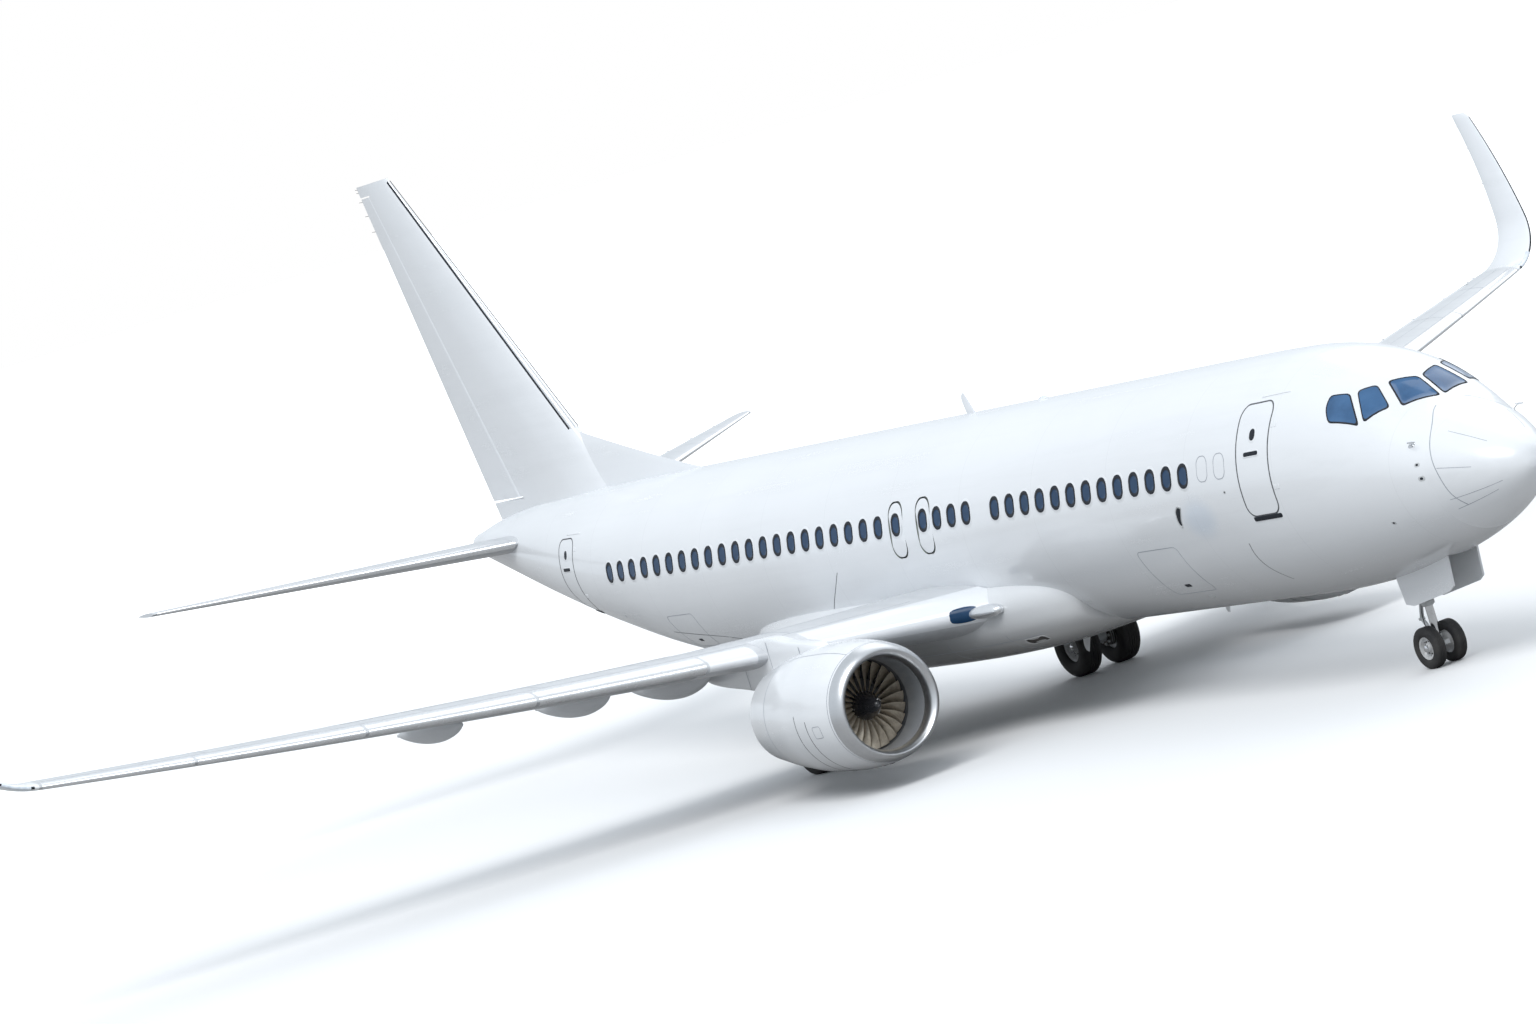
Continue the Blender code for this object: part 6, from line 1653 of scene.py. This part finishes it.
def build_side_fittings(word, side):
    """Probes, ports, outlets, drains, lamps and wicks of one side."""
    surface = flank(side)
    # A probe beside the nose
    points, normals = surface(np.array([1.6]), np.array([0.17]))
    foot, out = points[0], normals[0]
    head = foot + out * 0.09
    shapes = [
        tube([foot - out * 0.01, foot + out * 0.05, head], [0.018, 0.014, 0.012], 12),
        tube([head + (0, 0.03, 0), head - (0, 0.06, 0), head - (0, 0.16, 0)], [0.014, 0.013, 0.008], 14),
        pad(surface, 1.6, 0.17, 0.05, 0.035, 0.004),
    ]
    ports = (1.46, -0.13, 0.032), (1.42, -0.35, 0.042), (5.9, 0.06, 0.024), (2.35, -0.95, 0.03)
    # Each port has a near-black middle: painted shade for its hole
    for station, z, size in ports:
        shapes.append(pad(surface, station, z, size * 1.5, size, 0.005, 1, size * 0.95))
        shapes.append(pad(surface, station, z, size * 0.7, size * 0.5, 0.009, 2))
    # An outlet in front of the wing with the pale bulge of its duct; its mouth is a flat near-black face,
    # painted shade inside the opening
    corners = [(-0.1, 0.16), (0.03, 0.19), (0.13, 0.1), (0.17, -0.08), (0.14, -0.2), (0.07, -0.2)]
    outline = along_edges(rounded_corners([*corners, (0.03, -0.06)], 0.05), 2) + (7.44, -0.22)
    profile = [(0, 0.001, 2), (0.8, 0.001, 2), (0.86, 0.009, 1), (0.95, 0.01, 1), (1, 0, 1), (1, -0.01, 1)]
    shapes.append(lens(surface, outline, profile + [(0, -0.02, 1)]))
    for station, z in ((8.6, -1.75), (12.1, -1.5), (25.2, -1.2), (29.4, -0.5)):
        shapes.append(pad(surface, station, z, 0.06, 0.03, 0.006, 1))
    piece(f"probes_{word}", shapes, ["chrome", "gear", "rim"])
    seams = []
    for places, count, width, lift, paint in (
        ([(5.9, -0.85), (5.97, -1.1), (5.93, -1.35), (5.73, -1.62)], 10, 0.013, 0.0014, 0),
        ([(19.6, -0.25), (19.95, -0.55), (20.5, -0.95)], 10, 0.013, 0.0014, 0),
        ([(24.6, -1.3), (25.6, -1.15), (27.5, -0.95)], 10, 0.013, 0.0014, 0),
        ([(1.72, 0.62), (1.4, 0.3), (1.16, -0.25), (1.06, -0.7), (0.95, -0.93)], 12, 0.015, 0.0015, 1),
    ):
        seams.append(line_on(surface, *curved_path(places, count).T, width, lift, paint=paint))
    for a, first in ((0.16, 0.62), (-0.42, 0.3), (-0.62, 0.42), (0.95, 0.5)):
        angle = a if side > 0 else math.pi - a
        seams.append(line_on(hull_surface, np.linspace(first, 1.14, 22), angle, 0.009, paint=1))
    piece(f"hull_seams_{word}", seams, ["dark", "faint"])
    # Landing lamps behind clear covers in the wing's root
    q = np.linspace(-1, 1, 25)
    rows = np.linspace(2.08, 2.48, 20)[:, None]
    t = 0.011 * q**2 * np.sqrt(np.clip(1 - ((rows - 2.28) / 0.2) ** 2, 0.01, 1))
    lamp = shell(partial(wing_at, side), rows, t, np.where(q < 0, -1, 1), 0.007, 0.02)
    piece(f"landing_lamps_{word}", lamp, ["glass"])
    # The fairing that closes the corner between the wing's leading edge and the hull
    a = turn(36)[None]
    t = np.linspace(0, 1, 40)[:, None]
    swell = np.sin(math.pi * t**0.55) ** 0.8 + 0.004
    points = place(side * (1.97 + 0.22 * t + 0.17 * swell * np.cos(a)), 13.95 + 1.5 * t,
                   -1.3 + 0.12 * swell * np.sin(a) + 0.02 * t)
    piece(f"root_fairing_{word}", skin(points), ["metal"], "bare_metal")
    wicks = [wick(wing_at(side, x, 1.0, 0), (0, 1, 0)) for x in (16.0, 16.2)]
    wicks += [wick(winglet_at(side, share, 1.0, 0), (0, 1, 0.2), 0.14) for share in (0.35, 0.6, 0.8, 0.93)]
    piece(f"wing_wicks_{word}", wicks, ["rim"])
    wicks = [wick(wing_at(side, x, 1.0, 0), (0, 1, 0)) for x in (13.2, 14.2, 15.2)]
    piece(f"aileron_wicks_{word}", wicks, ["rim"], body=f"aileron_{word}")
    wicks = [wick(stabiliser_at(side, x, 1.0, 0), (0, 1, 0)) for x in (5.2, 5.9, 6.6)]
    piece(f"elevator_wicks_{word}", wicks, ["rim"], body=f"elevator_{word}")


# Carried-over pieces of the frame


CARRIED = {
    "main_gear_leg": "gear", "main_gear_door": "white", "nose_gear_leg": "gear", "nose_gear_fork": "gear",
    "nose_gear_door": "white",
}


def finish_frame():
    """The gear legs, the steered part and the gear doors keep their shape and get their finishes."""
    for name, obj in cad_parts.items():
        for stem, short in CARRIED.items():
            if name.startswith(stem):
                obj.data.materials.clear()
                obj.data.materials.append(FINISHES[short])
                obj.data.shade_smooth()
                obj.data.set_sharp_from_angle(angle=math.radians(40))


# Floor, light and camera


CAMERA_PLACE = (-53.76, -100.111, 11.88)
CAMERA_BACK = (-0.4530, -0.8893, 0.0635)
CAMERA_UP = (0.2933, -0.0814, 0.9526)
FLOOR_RADIUS = 2000.0


def seen_and_lit(tree, lit, seen, out):
    """Shows one shader to the camera and the other to every other ray."""
    rays = tree.nodes.new("ShaderNodeLightPath").outputs["Is Camera Ray"]
    mix = node(tree, "MixShader", i0=rays, i1=lit.outputs[0], i2=seen.outputs[0])
    tree.links.new(mix.outputs[0], out.inputs["Surface"])


def floor_finish():
    """A pale floor that turns to plain white light far out, so that it has no edge, and that gives
    less light back to the aircraft's underside than the camera sees."""
    made = finish("floor_pale", (0.9, 0.905, 0.91), (0.86, 0.865, 0.87), (0.6, 0.8), cloud=0.5, streaks=0.1,
                  scales=(0.02, 0.1, 4.0), bump=0.0005)
    tree = made.node_tree
    shader = tree.nodes["Principled BSDF"]
    vector = tree.nodes.new("ShaderNodeTexCoord").outputs["Object"]
    reach = node(tree, "VectorMath", {"operation": "LENGTH"}, i0=vector).outputs["Value"]
    far = node(tree, "MapRange", {"interpolation_type": "SMOOTHSTEP"}, Value=reach, i1=30.0, i2=110.0)
    glow = mixed(tree, far.outputs[0], (0, 0, 0, 1), (1, 1, 1, 1))
    feed(tree, shader.inputs["Emission Color"], glow)
    feed(tree, shader.inputs["Emission Strength"], 0.6)
    dim = node(tree, "BsdfDiffuse", Color=(0.36, 0.355, 0.35, 1))
    seen_and_lit(tree, dim, shader, tree.nodes["Material Output"])
    FINISHES["floor"] = made


def aim(obj, back, up, spot):
    """Stands a lamp or the camera at a spot, looking away from the direction back, with its top
    towards the direction up."""
    bpy.context.scene.collection.objects.link(obj)
    back = unit(np.array(back, float))
    right = unit(np.cross(up, back))
    turned_axes = np.column_stack([right, np.cross(back, right), back, spot])
    obj.matrix_world = Matrix(np.vstack([turned_axes, (0, 0, 0, 1)]).tolist())


def build_stage(look):
    """A pale round floor, a white surround, soft lamps and the camera."""
    floor_finish()
    a = turn(128)
    disc = [place(r * np.cos(a), LENGTH / 2 + r * np.sin(a), z - WIDEST_LINE)
            for r, z in ((FLOOR_RADIUS, -0.5), (FLOOR_RADIUS, 0.0), (60.0, 0.0), (1.0, 0.0))]
    ground = mesh_object("studio_floor", skin(np.stack(disc)), ["floor"])
    world = bpy.data.worlds.new("studio")
    bpy.context.scene.world = world
    world.use_nodes = True
    tree = world.node_tree
    tree.nodes.clear()
    seen = node(tree, "Background", Color=(1, 1, 1, 1), Strength=1.0)
    lit = node(tree, "Background", Color=(*look.sky_light, 1), Strength=look.sky_strength)
    seen_and_lit(tree, lit, seen, tree.nodes.new("ShaderNodeOutputWorld"))
    for name, towards, strength, softness in (
        ("key_lamp", (-0.45, -0.42, 0.79), look.key_strength, 35),
        ("fill_lamp", (0.7, 0.35, 0.62), look.fill_strength, 60),
    ):
        data = bpy.data.lights.new(name, "SUN")
        data.energy, data.angle = strength, math.radians(softness)
        aim(bpy.data.objects.new(name, data), towards, (0.0, 1.0, 0.01), unit(np.array(towards)) * 80)
    data = bpy.data.cameras.new("camera")
    data.sensor_width, data.lens, data.clip_end = 36.0, look.lens, 3000.0
    camera = bpy.data.objects.new("camera", data)
    aim(camera, CAMERA_BACK, CAMERA_UP, CAMERA_PLACE)
    bpy.context.scene.camera = camera
    bpy.context.scene.view_settings.view_transform = "Standard"


# The add-on: settings, one operator for each group of pieces, and the panel that lists them


class AirlinerLooks(bpy.types.PropertyGroup):
    """Colours of the paint, metal and glass."""

    paint: bpy.props.FloatVectorProperty(
        name="Paint", description="White of the hull, tail and cowls", subtype="COLOR", size=3,
        default=(0.84, 0.86, 0.885), min=0, max=1)
    wing_paint: bpy.props.FloatVectorProperty(
        name="Wing paint", description="Grey of the wings and stabilisers", subtype="COLOR", size=3,
        default=(0.6, 0.62, 0.645), min=0, max=1)
    bare_metal: bpy.props.FloatVectorProperty(
        name="Bare metal", description="Colour of slats and leading edges", subtype="COLOR", size=3,
        default=(0.86, 0.875, 0.895), min=0, max=1)
    cabin_glass: bpy.props.FloatVectorProperty(
        name="Cabin glass", description="Colour of the cabin windows", subtype="COLOR", size=3,
        default=(0.011, 0.043, 0.105), min=0, max=1)
    windscreen: bpy.props.FloatVectorProperty(
        name="Windscreen", description="Colour of the cockpit windows", subtype="COLOR", size=3,
        default=(0.022, 0.085, 0.2), min=0, max=1)


class AirlinerStage(bpy.types.PropertyGroup):
    """Lamps and camera."""

    sky_light: bpy.props.FloatVectorProperty(
        name="Sky light", description="Colour of the light from all round", subtype="COLOR", size=3,
        default=(0.86, 0.93, 1.0), min=0, max=1)
    sky_strength: bpy.props.FloatProperty(
        name="Sky strength", description="Strength of the light from all round", default=0.8, min=0)
    key_strength: bpy.props.FloatProperty(
        name="Key lamp", description="Strength of the soft lamp above the starboard bow", default=1.65, min=0)
    fill_strength: bpy.props.FloatProperty(
        name="Fill lamp", description="Strength of the soft lamp above the port quarter", default=0.7, min=0)
    lens: bpy.props.FloatProperty(
        name="Lens", description="Focal length of the camera in millimetres", default=147.5, min=20, max=400)


class AIRLINER_OT_finishes(bpy.types.Operator):
    """Makes every material of the aircraft"""

    bl_idname = "airliner.finishes"
    bl_label = "Finishes"

    def execute(self, context):
        make_finishes(context.scene.airliner_looks)
        return {"FINISHED"}


class AIRLINER_OT_hull(bpy.types.Operator):
    """Builds the pressure hull, the radome and the tail cone"""

    bl_idname = "airliner.hull"
    bl_label = "Hull"

    def execute(self, context):
        build_hull()
        return {"FINISHED"}


class AIRLINER_OT_exits(bpy.types.Operator):
    """Builds the four overwing exit hatches"""

    bl_idname = "airliner.exits"
    bl_label = "Overwing exits"

    def execute(self, context):
        build_exits()
        return {"FINISHED"}


class AIRLINER_OT_windows(bpy.types.Operator):
    """Builds the cabin windows and the plugged ones"""

    bl_idname = "airliner.windows"
    bl_label = "Cabin windows"

    def execute(self, context):
        build_windows()
        return {"FINISHED"}


class AIRLINER_OT_cockpit(bpy.types.Operator):
    """Builds the cockpit windows with their seals"""

    bl_idname = "airliner.cockpit"
    bl_label = "Cockpit windows"

    def execute(self, context):
        build_cockpit()
        return {"FINISHED"}


class AIRLINER_OT_doors(bpy.types.Operator):
    """Builds the outlines and fittings of the cabin and cargo doors"""

    bl_idname = "airliner.doors"
    bl_label = "Doors"

    def execute(self, context):
        build_doors()
        return {"FINISHED"}


class AIRLINER_OT_fairing(bpy.types.Operator):
    """Builds the wing-to-body fairing"""

    bl_idname = "airliner.fairing"
    bl_label = "Belly fairing"

    def execute(self, context):
        build_fairing()
        return {"FINISHED"}


class AIRLINER_OT_wings(bpy.types.Operator):
    """Builds wings, slats, flaps, ailerons and winglets"""

    bl_idname = "airliner.wings"
    bl_label = "Wings"

    def execute(self, context):
        build_wings()
        return {"FINISHED"}


class AIRLINER_OT_tail(bpy.types.Operator):
    """Builds fin, rudder, stabilisers and elevators"""

    bl_idname = "airliner.tail"
    bl_label = "Tail"

    def execute(self, context):
        build_tail()
        return {"FINISHED"}


class AIRLINER_OT_engines(bpy.types.Operator):
    """Builds lips, cowls, fans, cores and pylons"""

    bl_idname = "airliner.engines"
    bl_label = "Engines"

    def execute(self, context):
        build_engines()
        return {"FINISHED"}


class AIRLINER_OT_main_gear(bpy.types.Operator):
    """Builds the main wheels, tyres, brakes and leg fittings"""

    bl_idname = "airliner.main_gear"
    bl_label = "Main gear"

    def execute(self, context):
        build_main_gear()
        return {"FINISHED"}


class AIRLINER_OT_nose_gear(bpy.types.Operator):
    """Builds the nose wheels, tyres and leg fittings"""

    bl_idname = "airliner.nose_gear"
    bl_label = "Nose gear"

    def execute(self, context):
        build_nose_gear()
        return {"FINISHED"}


class AIRLINER_OT_fittings(bpy.types.Operator):
    """Builds aerials, lamps, probes, seams and wicks"""

    bl_idname = "airliner.fittings"
    bl_label = "Fittings"

    def execute(self, context):
        build_fittings()
        return {"FINISHED"}


class AIRLINER_OT_carried(bpy.types.Operator):
    """Gives the gear legs and gear doors their finishes"""

    bl_idname = "airliner.carried"
    bl_label = "Carried-over pieces"

    def execute(self, context):
        finish_frame()
        return {"FINISHED"}


class AIRLINER_OT_stage(bpy.types.Operator):
    """Builds the floor, the light and the camera"""

    bl_idname = "airliner.stage"
    bl_label = "Stage"

    def execute(self, context):
        build_stage(context.scene.airliner_stage)
        return {"FINISHED"}


STEPS = [
    AIRLINER_OT_finishes,
    AIRLINER_OT_hull,
    AIRLINER_OT_exits,
    AIRLINER_OT_windows,
    AIRLINER_OT_cockpit,
    AIRLINER_OT_doors,
    AIRLINER_OT_fairing,
    AIRLINER_OT_wings,
    AIRLINER_OT_tail,
    AIRLINER_OT_engines,
    AIRLINER_OT_main_gear,
    AIRLINER_OT_nose_gear,
    AIRLINER_OT_fittings,
    AIRLINER_OT_carried,
    AIRLINER_OT_stage,
]


class AIRLINER_PT_panel(bpy.types.Panel):
    """The settings and the building steps"""

    bl_idname = "AIRLINER_PT_panel"
    bl_label = "Airliner"
    bl_space_type = "VIEW_3D"
    bl_region_type = "UI"
    bl_category = "Airliner"

    def draw(self, context):
        for group_name in ("airliner_looks", "airliner_stage"):
            settings = getattr(context.scene, group_name)
            for name in settings.bl_rna.properties.keys():
                if name not in ("rna_type", "name"):
                    self.layout.prop(settings, name)
        for step in STEPS:
            self.layout.operator(step.bl_idname)


CLASSES = [AirlinerLooks, AirlinerStage, *STEPS, AIRLINER_PT_panel]


def register():
    """Adds the classes and the settings to Blender."""
    for one in CLASSES:
        bpy.utils.register_class(one)
    bpy.types.Scene.airliner_looks = bpy.props.PointerProperty(type=AirlinerLooks)
    bpy.types.Scene.airliner_stage = bpy.props.PointerProperty(type=AirlinerStage)


def unregister():
    """Takes the settings and the classes away again."""
    del bpy.types.Scene.airliner_stage
    del bpy.types.Scene.airliner_looks
    for one in reversed(CLASSES):
        bpy.utils.unregister_class(one)


def main():
    """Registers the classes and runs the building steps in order."""
    register()
    for step in STEPS:
        getattr(bpy.ops.airliner, step.bl_idname.split(".")[1])()


if __name__ == "__main__":
    main()
